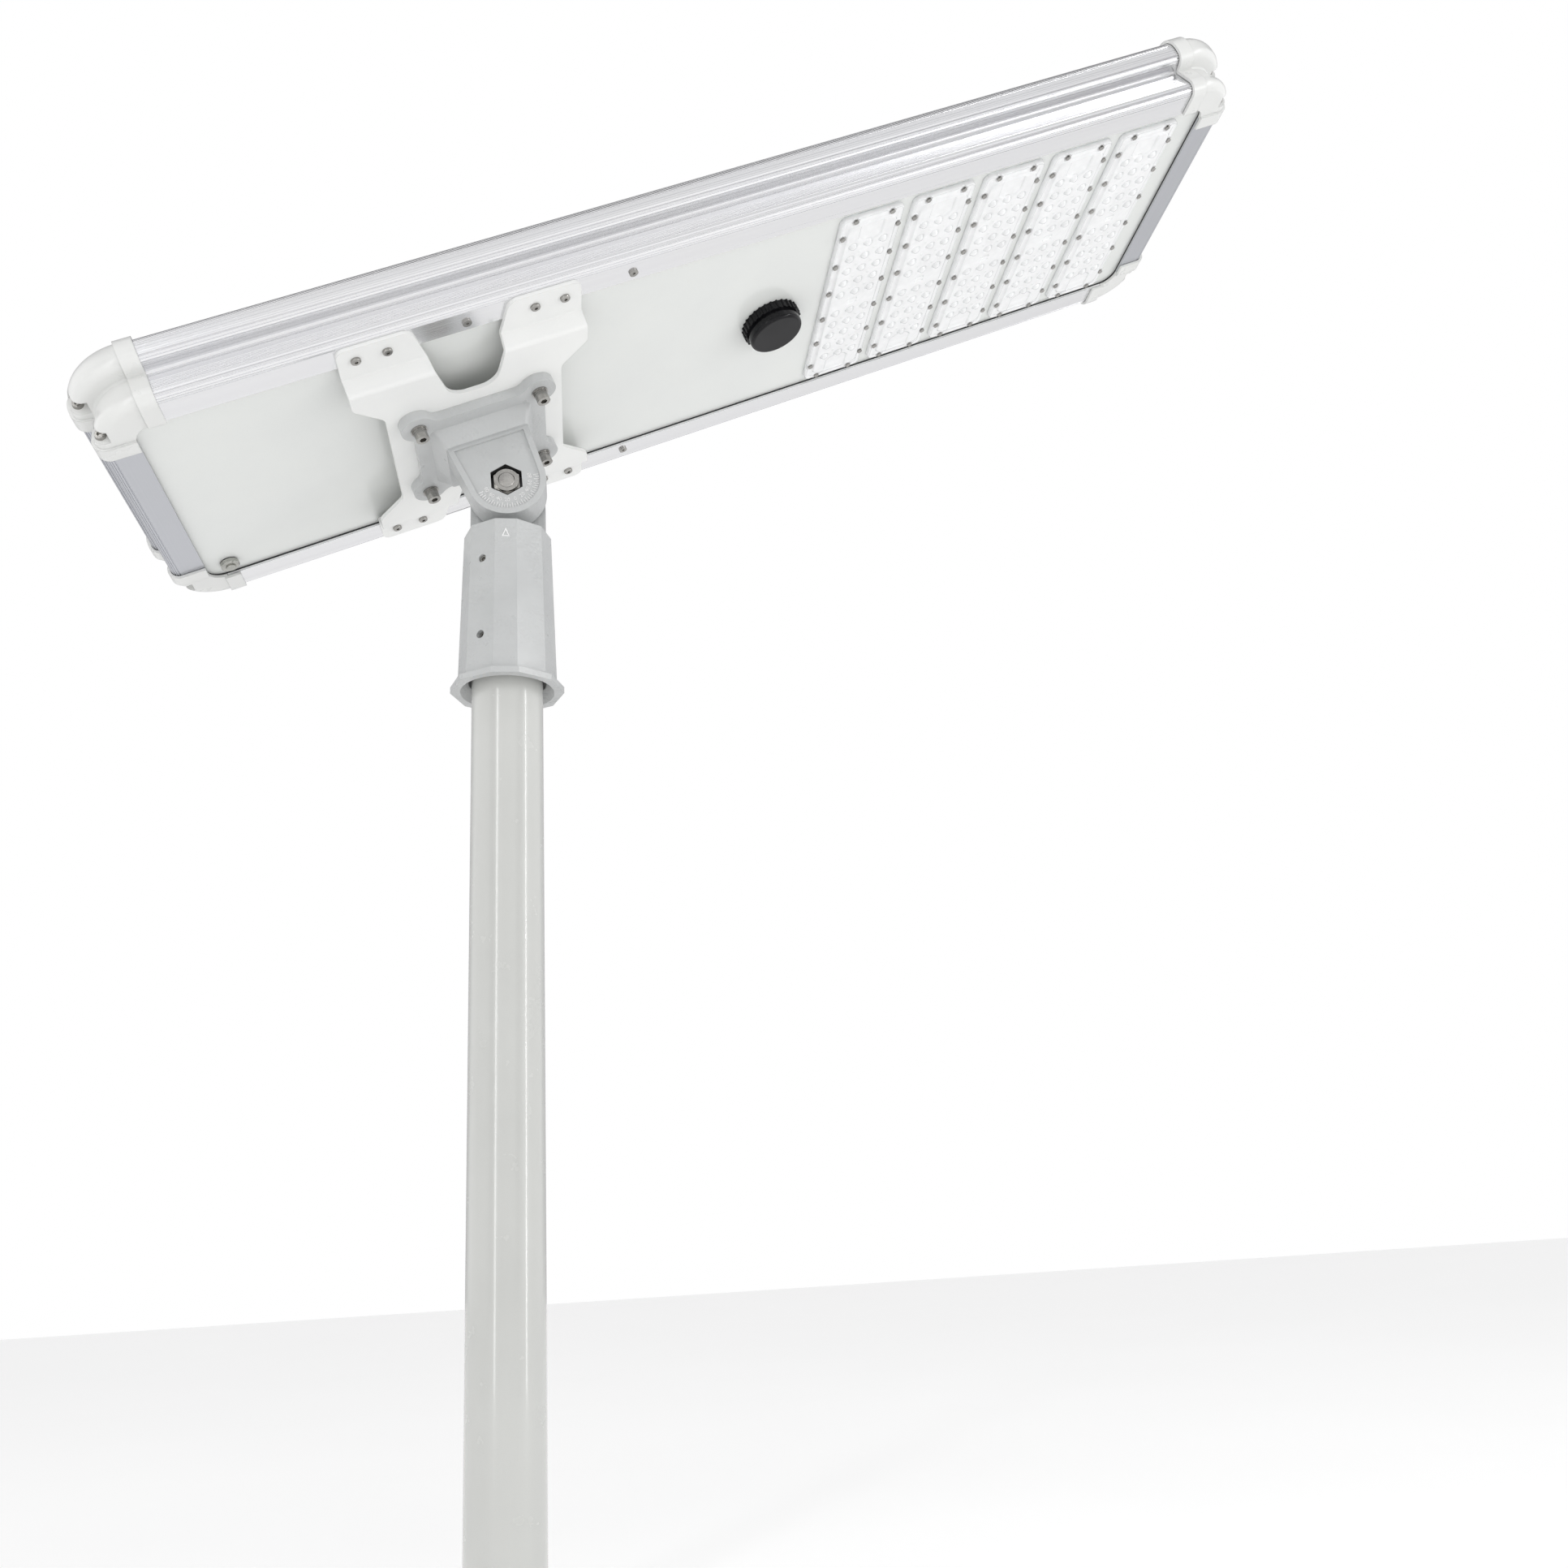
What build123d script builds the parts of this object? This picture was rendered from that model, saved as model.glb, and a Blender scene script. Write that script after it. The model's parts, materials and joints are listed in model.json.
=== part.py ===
from build123d import *
import math
import os

os.makedirs("parts", exist_ok=True)

# ---------------------------------------------------------------- dimensions
# All in millimetres.  Row frame: origin at the centre of the pole's lower end,
# +Z up the pole, +X towards the LED end of the head, +Y to its far side.
POLE_R, POLE_BORE_R = 33.0, 30.0
HINGE_Z = 1000.0                 # height of the tilt axis above the pole's lower end
TILT = 22.0                      # head tilt at rest, LED end up, degrees

HEAD_L, HEAD_W = 1200.0, 364.0   # outside size of the head
BEND_R = 57.0                    # outside radius of the corner caps
HINGE_U, HINGE_M = -263.0, -98.0 # tilt axis in head axes

SLEEVE_TOP, SLEEVE_FOOT = 47.5, 204.0   # distances below the tilt axis
SLEEVE_BORE_R = 36.0
FLANGE_T = 6.0
EAR_R = 38.0                     # radius of both hinge ears
TILT_BOLT_R, TILT_BORE_R = 8.0, 8.08

LED_PITCH_U = 82.5               # spacing of the LED modules
LED_U0 = 165.5                   # centre of the module nearest the bracket
LED_DU, LED_DW, LED_GAP = 17.5, 19.1, 31.3   # LED grid within a module
SENSOR_U = 70.0
SWITCH_U, SWITCH_W = -536.0, 124.0

# ---------------------------------------------------------------- head axes
cT, sT = math.cos(math.radians(TILT)), math.sin(math.radians(TILT))
HEAD = Plane(
    origin=(
        -HINGE_U * cT - (-HINGE_M) * sT,
        0,
        HINGE_Z - HINGE_U * sT + (-HINGE_M) * cT,
    ),
    x_dir=(cT, 0, sT),
    z_dir=(-sT, 0, cT),
)


def head(plane):
    """A plane given in head axes (u along the head, w across, m towards the panel)."""
    return Plane(HEAD.location * plane.location)


def at_m(m):
    """Plane parallel to the head's underside at height m; local x = u, y = w."""
    return HEAD.offset(m)


def at_u(u):
    """Cross plane of the head at station u; local x = w, y = m; normal +u."""
    return head(Plane.YZ.offset(u))


def at_w(w):
    """Long plane of the head at w; local x = u, y = m; normal -w."""
    return head(Plane.XZ.offset(-w))


def save(builder, name):
    builder.part.label = name
    export_step(builder.part, f"parts/{name}.step")


# ---------------------------------------------------------------- rail profile
# Profile in (r, m): r is the distance outwards from the centre line of the
# corner bend, m the height above the back pan's outer face.
BEND_U, BEND_W = HEAD_L / 2 - BEND_R, HEAD_W / 2 - BEND_R
FLANGE_IN, FLANGE_M, TOP_M = 16.5, -4.5, 60.5
WEB_R = 34.0
CORNERS = [
    (FLANGE_IN, FLANGE_M),
    (52.5, FLANGE_M),
    (39.0, 28.5),
    (57.0, 31.0),
    (57.0, TOP_M),
    (29.0, TOP_M),
]
RADII = [8.0, 3.0, 8.0, 18.0]
CONVEX = [1, -1, 1, 1]


def grown(g):
    """Corner points and radii of the outer contour moved outwards by g."""
    lines = []
    for a, b in zip(CORNERS, CORNERS[1:]):
        dx, dy = b[0] - a[0], b[1] - a[1]
        n = math.hypot(dx, dy)
        nx, ny = dy / n, -dx / n
        lines.append(((a[0] + nx * g, a[1] + ny * g), (dx / n, dy / n)))
    pts = [(CORNERS[0][0], CORNERS[0][1] - g)]
    for (p, d), (q, e) in zip(lines, lines[1:]):
        det = d[0] * -e[1] + e[0] * d[1]
        t = ((q[0] - p[0]) * -e[1] + e[0] * (q[1] - p[1])) / det
        pts.append((p[0] + d[0] * t, p[1] + d[1] * t))
    pts.append((CORNERS[-1][0], CORNERS[-1][1] + g))
    return pts, [max(0.6, r + s * g) for r, s in zip(RADII, CONVEX)]


def ribbed_contour():
    """Points along the outer contour with fine grip ribs on both lobes."""
    path = FilletPolyline(*CORNERS, radius=RADII)
    length = path.length
    zones = [(22.5, 51.0), (69.0, 111.0)]
    pitch, depth = 2.35, 0.6
    out, s = [], 0.0

    def put(at, sink):
        t = min(1.0, max(0.0, at / length))
        p, d = path @ t, path % t
        out.append((p.X - d.Y * sink, p.Y + d.X * sink))

    while s < length:
        if any(a <= s < b for a, b in zones):
            put(s, 0.0)
            put(s + 1.2, 0.0)
            put(s + 1.5, depth)
            put(s + 2.05, depth)
            s += pitch
        else:
            put(s, 0.0)
            s += 1.2
    put(length, 0.0)
    return out


INNER_SIDE = [
    (29.0, 58.3), (WEB_R, 58.3), (WEB_R, 53.7), (30.0, 53.7), (30.0, 52.2),
    (WEB_R, 52.2), (WEB_R, -2.3), (FLANGE_IN, -2.3),
]
CHAMBER = [
    (36.2, -0.2), (42.3, -0.6), (45.0, 1.8), (46.2, 5.0), (45.2, 8.4), (37.8, 25.5),
    (37.5, 29.6), (41.0, 31.6), (51.5, 33.5), (53.9, 36.0), (54.4, 40.0), (54.4, 47.0),
    (51.2, 52.2), (46.4, 56.3), (42.5, 57.9), (36.2, 58.2),
]
RAIL_OUTER = ribbed_contour() + INNER_SIDE

# Screw stations
TAB_DU = [-99.0, -70.0, 70.0, 99.0]      # bracket tab screws from the tilt axis
TAB_W = 151.0
FLANGE_SCREWS = [(-257.0, -152.0), (-94.0, -152.0), (-257.0, 152.0), (-96.0, 152.0)]
tab_points = [(HINGE_U + du, sw * TAB_W) for du in TAB_DU for sw in (-1, 1)]

# ---------------------------------------------------------------- side rails
for name, sw in (("side_rail_near", -1), ("side_rail_far", 1)):
    with BuildPart() as rail:
        with BuildSketch(at_u(-BEND_U + 0.5)):
            with BuildLine():
                Polyline(*[(sw * (BEND_W + r), m) for r, m in RAIL_OUTER], close=True)
            make_face()
            with BuildLine():
                Polyline(*[(sw * (BEND_W + r), m) for r, m in CHAMBER], close=True)
            make_face(mode=Mode.SUBTRACT)
        extrude(amount=2 * BEND_U - 1)
        with BuildSketch(at_m(-10)):
            with Locations(*[p for p in tab_points if p[1] * sw > 0]):
                Circle(2.6)
            with Locations(*[p for p in FLANGE_SCREWS if p[1] * sw > 0]):
                Circle(2.1)
        extrude(amount=9.9, mode=Mode.SUBTRACT)
    save(rail, name)

# ---------------------------------------------------------------- end rails
for name, su in (("end_rail_rear", -1), ("end_rail_front", 1)):
    with BuildPart() as rail:
        with BuildSketch(at_w(-BEND_W + 0.5)):
            with BuildLine():
                Polyline(*[(su * (BEND_U + r), m) for r, m in RAIL_OUTER], close=True)
            make_face()
            with BuildLine():
                Polyline(*[(su * (BEND_U + r), m) for r, m in CHAMBER], close=True)
            make_face(mode=Mode.SUBTRACT)
        extrude(amount=-(2 * BEND_W - 1))
    save(rail, name)

# ---------------------------------------------------------------- corner caps
# Cast quarter bends that follow the rail profile, with a thicker collar over
# the end of each rail, and two screw pads beside the end rail.
COLLAR, COLLAR_LEN, CAP_SKIN = 3.2, 13.0, 3.0
PAD_OUT, PAD_DEPTH = 10.0, 14.0
# r and m of each screw, then the notch's inner side, its bottom and its top
CAP_SCREWS = [(49.8, 40.0, 41.5, 27.5, 49.5), (41.8, 4.2, 35.8, -12.0, 13.0)]


def band(path_out, path_in, flip):
    """Closed outline between two profile contours; flip mirrors r."""
    (po, ro), (pi, ri) = path_out, path_in
    po = [(flip * x, y) for x, y in po]
    pi = [(flip * x, y) for x, y in pi]
    FilletPolyline(*po, radius=ro)
    FilletPolyline(*pi, radius=ri)
    Line(po[0], pi[0])
    Line(po[-1], pi[-1])


cap_screw_spots = []
for name, su, sw in (
    ("corner_cap_rear_near", -1, -1),
    ("corner_cap_rear_far", -1, 1),
    ("corner_cap_front_near", 1, -1),
    ("corner_cap_front_far", 1, 1),
):
    centre = HEAD.from_local_coords(Vector(su * BEND_U, sw * BEND_W, 0))
    spin = Axis(centre, HEAD.z_dir * (-su * sw))
    with BuildPart() as cap:
        # quarter bend
        with BuildSketch(head(Plane(origin=(su * BEND_U, sw * BEND_W, 0), x_dir=(0, sw, 0), z_dir=(sw, 0, 0)))):
            with BuildLine():
                band(grown(0.8), grown(0.8 - CAP_SKIN), 1)
            make_face()
        revolve(axis=spin, revolution_arc=90)
        # collar over the side rail
        with BuildSketch(head(Plane(origin=(su * (BEND_U - COLLAR_LEN), sw * BEND_W, 0), x_dir=(0, sw, 0), z_dir=(sw, 0, 0)))):
            with BuildLine():
                band(grown(COLLAR), grown(0.3), 1)
            make_face()
        extrude(amount=COLLAR_LEN * su * sw)
        with BuildSketch(head(Plane(origin=(su * BEND_U, sw * BEND_W, 0), x_dir=(0, sw, 0), z_dir=(sw, 0, 0)))):
            with BuildLine():
                band(grown(COLLAR), grown(0.8 - CAP_SKIN), 1)
            make_face()
        extrude(amount=3.0 * su * sw)
        # collar over the end rail
        with BuildSketch(head(Plane(origin=(su * BEND_U, sw * (BEND_W - COLLAR_LEN), 0), x_dir=(su, 0, 0), z_dir=(0, -su, 0)))):
            with BuildLine():
                band(grown(COLLAR), grown(0.3), 1)
            make_face()
        extrude(amount=-COLLAR_LEN * su * sw)
        with BuildSketch(head(Plane(origin=(su * BEND_U, sw * BEND_W, 0), x_dir=(su, 0, 0), z_dir=(0, -su, 0)))):
            with BuildLine():
                band(grown(COLLAR), grown(0.8 - CAP_SKIN), 1)
            make_face()
        extrude(amount=-3.0 * su * sw)
        # a solid boss inside each lobe beside the end rail, cut back to a flat
        # pad that faces outwards across the head and carries a screw
        w_pad, w_out = BEND_W + PAD_OUT, BEND_W + PAD_OUT + PAD_DEPTH
        for r, m, r_in, low, high in CAP_SCREWS:
            with BuildPart(mode=Mode.PRIVATE) as boss:
                with BuildSketch(head(Plane(origin=(su * BEND_U, sw * BEND_W, 0), x_dir=(0, sw, 0), z_dir=(sw, 0, 0)))):
                    with BuildLine():
                        pts, rad = grown(0.6)
                        FilletPolyline(
                            *pts[1:5], (33.6, TOP_M + 0.6), (33.6, FLANGE_M - 0.6),
                            radius=rad + [0, 0], close=True,
                        )
                    make_face()
                revolve(axis=spin, revolution_arc=90)
                with BuildSketch(at_m(low - 2.0)):
                    with Locations((su * (BEND_U + (r_in + 78.0) / 2), sw * (BEND_W + 0.6 + w_out + 2.5) / 2)):
                        Rectangle(80.0 - r_in, w_out + 2.5 - BEND_W - 0.6)
                extrude(amount=high - low + 4.0, mode=Mode.INTERSECT)
            add(boss.part)
            with BuildSketch(at_m(low)):
                with Locations((su * (BEND_U + (r_in + 80.0) / 2), sw * (w_pad + w_out) / 2)):
                    Rectangle(80.0 - r_in, w_out - w_pad)
            extrude(amount=high - low, mode=Mode.SUBTRACT)
            spot = head(Plane(
                origin=(su * (BEND_U + r), sw * w_pad, m), x_dir=(su, 0, 0), z_dir=(0, sw, 0)
            ))
            with BuildSketch(spot):
                Circle(2.6)
            extrude(amount=-PAD_OUT, mode=Mode.SUBTRACT)
            cap_screw_spots.append(spot)
        # clearance for the end rail inside the collar
        with BuildSketch(head(Plane(origin=(su * BEND_U, sw * (BEND_W - 30.0), 0), x_dir=(su, 0, 0), z_dir=(0, -su, 0)))):
            with BuildLine():
                pts, rad = grown(0.3)
                FilletPolyline(
                    *pts, (28.0, TOP_M + 0.3), (28.0, 20.0), (16.0, 20.0), (16.0, FLANGE_M - 0.3),
                    radius=[0] + rad + [0, 0, 0, 0, 0], close=True,
                )
            make_face()
        extrude(amount=-30.0 * su * sw, mode=Mode.SUBTRACT)
    save(cap, name)

# corner screws: socket heads on the pads, shanks reaching into the end rails
with BuildPart() as cap_screws:
    for spot in cap_screw_spots:
        with BuildSketch(spot):
            Circle(2.5)
        extrude(amount=-19.0)
        with BuildSketch(spot):
            Circle(5.0)
        with BuildSketch(spot.offset(3.4)):
            Circle(4.2)
        loft()
        with BuildSketch(spot.offset(3.4)):
            RegularPolygon(2.5, 6)
        extrude(amount=-2.2, mode=Mode.SUBTRACT)
save(cap_screws, "corner_cap_screws")

# ---------------------------------------------------------------- back pan
PAN_U, PAN_W, PAN_R, PAN_T = BEND_U + 33.0, BEND_W + 33.0, 33.0, 1.5
led_us = [LED_U0 + i * LED_PITCH_U for i in range(5)]
LENS_U, LENS_W = 71.0, 265.0
SCREW_W = [-107.0 + i * 42.8 for i in range(6)]
lens_screw_spots = []
for uc in led_us:
    for w in SCREW_W:
        lens_screw_spots += [(uc - 31.7, w), (uc + 31.7, w)]
    for w in (-128.5, 128.5):
        lens_screw_spots += [(uc - 20.5, w), (uc + 20.5, w)]

with BuildPart() as pan:
    with BuildSketch(at_m(0)):
        RectangleRounded(2 * PAN_U, 2 * PAN_W, PAN_R)
        with Locations(*lens_screw_spots):
            Circle(1.6, mode=Mode.SUBTRACT)
        with Locations(*tab_points):
            Circle(2.6, mode=Mode.SUBTRACT)
        with Locations(*FLANGE_SCREWS):
            Circle(2.1, mode=Mode.SUBTRACT)
        with Locations((SENSOR_U, 0)):
            Circle(20.3, mode=Mode.SUBTRACT)
        with Locations((SWITCH_U, SWITCH_W)):
            Circle(6.2, mode=Mode.SUBTRACT)
        with Locations(*[(u, -100.0) for u in led_us]):
            Circle(4.0, mode=Mode.SUBTRACT)
    extrude(amount=PAN_T)
save(pan, "back_pan")

# sealing strip between the rails' flanges and the pan
with BuildPart() as pan_gasket:
    with BuildSketch(at_m(-2.3)):
        RectangleRounded(2 * (BEND_U + 32.0), 2 * (BEND_W + 32.0), 32.0)
        RectangleRounded(2 * (BEND_U + 17.3), 2 * (BEND_W + 17.3), 17.3, mode=Mode.SUBTRACT)
        with Locations(*tab_points):
            Circle(2.6, mode=Mode.SUBTRACT)
        with Locations(*FLANGE_SCREWS):
            Circle(2.1, mode=Mode.SUBTRACT)
    extrude(amount=2.3)
save(pan_gasket, "pan_gasket")

with BuildPart() as pan_screws:
    with BuildSketch(at_m(FLANGE_M - 1.8)):
        with Locations(*FLANGE_SCREWS):
            Circle(4.4)
    extrude(amount=1.8)
    with BuildSketch(at_m(FLANGE_M)):
        with Locations(*FLANGE_SCREWS):
            Circle(2.0)
    extrude(amount=10.0)
    with BuildSketch(at_m(FLANGE_M - 1.8)):
        with Locations(*FLANGE_SCREWS):
            RegularPolygon(1.6, 6)
    extrude(amount=1.2, mode=Mode.SUBTRACT)
save(pan_screws, "pan_screws")

# ---------------------------------------------------------------- solar panel
GLASS_U, GLASS_W = BEND_U + 33.0, BEND_W + 33.0
with BuildPart() as glass:
    with BuildSketch(at_m(54.6)):
        RectangleRounded(2 * GLASS_U, 2 * GLASS_W, 33.0)
    extrude(amount=3.2)
save(glass, "solar_glass")

with BuildPart() as cells:
    with BuildSketch(at_m(54.2)):
        with BuildLine():
            cu, cw, cc = 569.0, 157.0, 38.0
            Polyline(
                (cu - cc, cw), (-cu + cc, cw), (-cu, cw - cc), (-cu, -cw + cc),
                (-cu + cc, -cw), (cu - cc, -cw), (cu, -cw + cc), (cu, cw - cc), close=True,
            )
        make_face()
    extrude(amount=0.4)
save(cells, "solar_cells")

with BuildPart() as backsheet:
    with BuildSketch(at_m(53.7)):
        RectangleRounded(2 * GLASS_U, 2 * GLASS_W, 33.0)
    extrude(amount=0.5)
save(backsheet, "solar_backsheet")

with BuildPart() as panel_gasket:
    with BuildSketch(at_m(57.8)):
        RectangleRounded(2 * (BEND_U + 33.0), 2 * (BEND_W + 33.0), 33.0)
        RectangleRounded(2 * (BEND_U + 29.6), 2 * (BEND_W + 29.6), 29.6, mode=Mode.SUBTRACT)
    extrude(amount=0.5)
save(panel_gasket, "panel_gasket")

with BuildPart() as jbox:
    with BuildSketch(at_m(53.7)):
        with Locations((250, 60)):
            RectangleRounded(110, 70, 8)
    extrude(amount=-18)
    fillet(jbox.faces().sort_by(Axis(HEAD.origin, HEAD.z_dir))[0].edges(), 3)
save(jbox, "junction_box")

# ---------------------------------------------------------------- LED modules
led_w = [s * (LED_GAP / 2 + i * LED_DW) for s in (-1, 1) for i in range(5)]
for n, uc in enumerate(led_us, 1):
    with BuildPart() as board:
        with BuildSketch(at_m(0)):
            with Locations((uc, 0)):
                RectangleRounded(56, 246, 3)
            with Locations((uc, -100.0)):
                Circle(3.0, mode=Mode.SUBTRACT)
        extrude(amount=-1.6)
        with BuildSketch(at_m(-1.6)):
            with Locations(*[(uc + du, w) for du in (-LED_DU, 0, LED_DU) for w in led_w]):
                Rectangle(3.4, 3.4)
        extrude(amount=-1.2)
    save(board, f"led_board_{n}")
    with BuildPart() as lens:
        with BuildSketch(at_m(-1.0)):
            with Locations((uc, 0)):
                RectangleRounded(LENS_U, LENS_W, 7)
        extrude(amount=-4.6)
        with BuildSketch(at_m(-5.6)):
            with Locations((uc, 0)):
                RectangleRounded(57.0, 245.0, 9)
        extrude(amount=-2.4)
        with BuildSketch(at_m(-1.0)):
            with Locations((uc, 0)):
                RectangleRounded(57.5, 248.0, 4)
        extrude(amount=-3.0, mode=Mode.SUBTRACT)
        with BuildSketch(at_m(-1.0)):
            with Locations(*[p for p in lens_screw_spots if abs(p[0] - uc) < 36]):
                Circle(1.6)
        extrude(amount=-10.0, mode=Mode.SUBTRACT)
    save(lens, f"led_lens_{n}")

with BuildPart() as lens_gaskets:
    with BuildSketch(at_m(0)):
        for uc in led_us:
            with Locations((uc, 0)):
                RectangleRounded(LENS_U - 0.6, LENS_W - 0.6, 6.7)
                RectangleRounded(58.5, 249.0, 4, mode=Mode.SUBTRACT)
        with Locations(*lens_screw_spots):
            Circle(1.6, mode=Mode.SUBTRACT)
    extrude(amount=-1.0)
save(lens_gaskets, "lens_gaskets")

with BuildPart() as lens_screws:
    with BuildSketch(at_m(-5.6)):
        with Locations(*lens_screw_spots):
            Circle(2.7)
    extrude(amount=-1.9)
    with BuildSketch(at_m(-5.6)):
        with Locations(*lens_screw_spots):
            Circle(1.5)
    extrude(amount=11.0)
save(lens_screws, "lens_screws")

# ---------------------------------------------------------------- motion sensor
with BuildPart() as sensor_body:
    with BuildSketch(at_m(-12.0)):
        with Locations((SENSOR_U, 0)):
            Circle(28.0)
    extrude(amount=12.0)
    with BuildSketch(at_m(0)):
        with Locations((SENSOR_U, 0)):
            Circle(20.0)
    extrude(amount=22.0)
save(sensor_body, "sensor_body")

with BuildPart() as sensor_nut:
    with BuildSketch(at_m(PAN_T)):
        with Locations((SENSOR_U, 0)):
            RegularPolygon(27.0, 6, major_radius=False)
            Circle(20.05, mode=Mode.SUBTRACT)
    extrude(amount=6.0)
save(sensor_nut, "sensor_nut")

# knurled ring with 30 grip ribs around the foot of the sensor
with BuildPart() as sensor_ring:
    with BuildSketch(at_m(0)):
        with Locations((SENSOR_U, 0)):
            Circle(31.0)
            with PolarLocations(31.0, 30):
                Circle(1.5)
            Circle(28.05, mode=Mode.SUBTRACT)
    extrude(amount=-9.0)
save(sensor_ring, "sensor_ring")

with BuildPart() as sensor_dome:
    with BuildSketch(at_m(-12.0)):
        with Locations((SENSOR_U, 0)):
            Circle(29.5)
    extrude(amount=-8.0)
    fillet(sensor_dome.edges().sort_by(Axis(HEAD.origin, HEAD.z_dir))[0], 3.5)
save(sensor_dome, "sensor_dome")

# ---------------------------------------------------------------- push button
# The travelling button sits in a metal bezel with 0.05 mm running clearance
# and has 2.5 mm of free travel under it.
with BuildPart() as switch_body:
    with BuildSketch(at_m(-1.2)):
        with Locations((SWITCH_U, SWITCH_W)):
            Circle(9.5)
    extrude(amount=-5.0)
    chamfer(switch_body.edges().sort_by(Axis(HEAD.origin, HEAD.z_dir))[0], 1.2)
    with BuildSketch(at_m(-1.2)):
        with Locations((SWITCH_U, SWITCH_W)):
            Circle(6.0)
    extrude(amount=23.0)
    with BuildSketch(at_m(-6.2)):
        with Locations((SWITCH_U, SWITCH_W)):
            Circle(5.0)
    extrude(amount=8.0, mode=Mode.SUBTRACT)
save(switch_body, "switch_body")

with BuildPart() as switch_seal:
    with BuildSketch(at_m(0)):
        with Locations((SWITCH_U, SWITCH_W)):
            Circle(9.0)
            Circle(6.05, mode=Mode.SUBTRACT)
    extrude(amount=-1.2)
save(switch_seal, "switch_seal")

with BuildPart() as switch_nut:
    with BuildSketch(at_m(PAN_T)):
        with Locations((SWITCH_U, SWITCH_W)):
            RegularPolygon(7.5, 6, major_radius=False)
            Circle(6.05, mode=Mode.SUBTRACT)
    extrude(amount=3.0)
save(switch_nut, "switch_nut")

with BuildPart() as switch_button:
    with BuildSketch(at_m(-0.8)):
        with Locations((SWITCH_U, SWITCH_W)):
            Circle(4.95)
    extrude(amount=-7.2)
    fillet(switch_button.edges().sort_by(Axis(HEAD.origin, HEAD.z_dir))[0], 0.8)
save(switch_button, "switch_button")

# ---------------------------------------------------------------- bracket
BR_Q = [(88.0, 72.0), (115.5, 100.0), (115.5, 167.0), (46.0, 167.0), (22.5, 77.0)]
BR_R = [12.0, 10.0, 9.0, 12.0, 20.0]
BR_SKIN = 4.0
KB_U, KB_W = 61.0, 56.0          # knuckle bolt half spacing
br_pts = (
    BR_Q
    + [(-x, y) for x, y in reversed(BR_Q)]
    + [(-x, -y) for x, y in BR_Q]
    + [(x, -y) for x, y in reversed(BR_Q)]
)
br_rad = BR_R + BR_R[::-1] + BR_R + BR_R[::-1]
with BuildPart() as bracket:
    with BuildSketch(at_u(HINGE_U - 130)):
        with BuildLine():
            FilletPolyline(
                (-170, -4.5), (-124.35, -4.5), (-117.85, -20.0), (117.85, -20.0), (124.35, -4.5), (170, -4.5),
                (170, -8.5), (127.0, -8.5), (120.5, -24.0), (-120.5, -24.0), (-127.0, -8.5), (-170, -8.5),
                radius=[0, 5.0, 1.5, 1.5, 5.0, 0, 0, 1.5, 5.5, 5.5, 1.5, 0], close=True,
            )
        make_face()
    extrude(amount=260)
    with BuildSketch(at_m(0)):
        with BuildLine():
            FilletPolyline(*[(HINGE_U + x, y) for x, y in br_pts], radius=br_rad, close=True)
        make_face()
    extrude(amount=-40, mode=Mode.INTERSECT)
    with BuildSketch(at_m(0)):
        with Locations(*tab_points):
            Circle(2.6)
        with Locations(*[(HINGE_U + a * KB_U, b * KB_W) for a in (-1, 1) for b in (-1, 1)]):
            Circle(4.25)
    extrude(amount=-40, mode=Mode.SUBTRACT)
save(bracket, "mounting_bracket")

with BuildPart() as bracket_screws:
    with BuildSketch(at_m(-8.5)):
        with Locations(*tab_points):
            Circle(2.5)
    extrude(amount=14.0)
    with BuildSketch(at_m(-8.5)):
        with Locations(*tab_points):
            Circle(4.7)
    extrude(amount=-2.8)
    fillet(
        bracket_screws.edges().filter_by(GeomType.CIRCLE).group_by(Axis(HEAD.origin, HEAD.z_dir))[0], 1.3
    )
    with BuildSketch(at_m(-11.3)):
        with Locations(*tab_points):
            RegularPolygon(1.8, 6)
    extrude(amount=1.8, mode=Mode.SUBTRACT)
save(bracket_screws, "bracket_screws")

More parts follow.
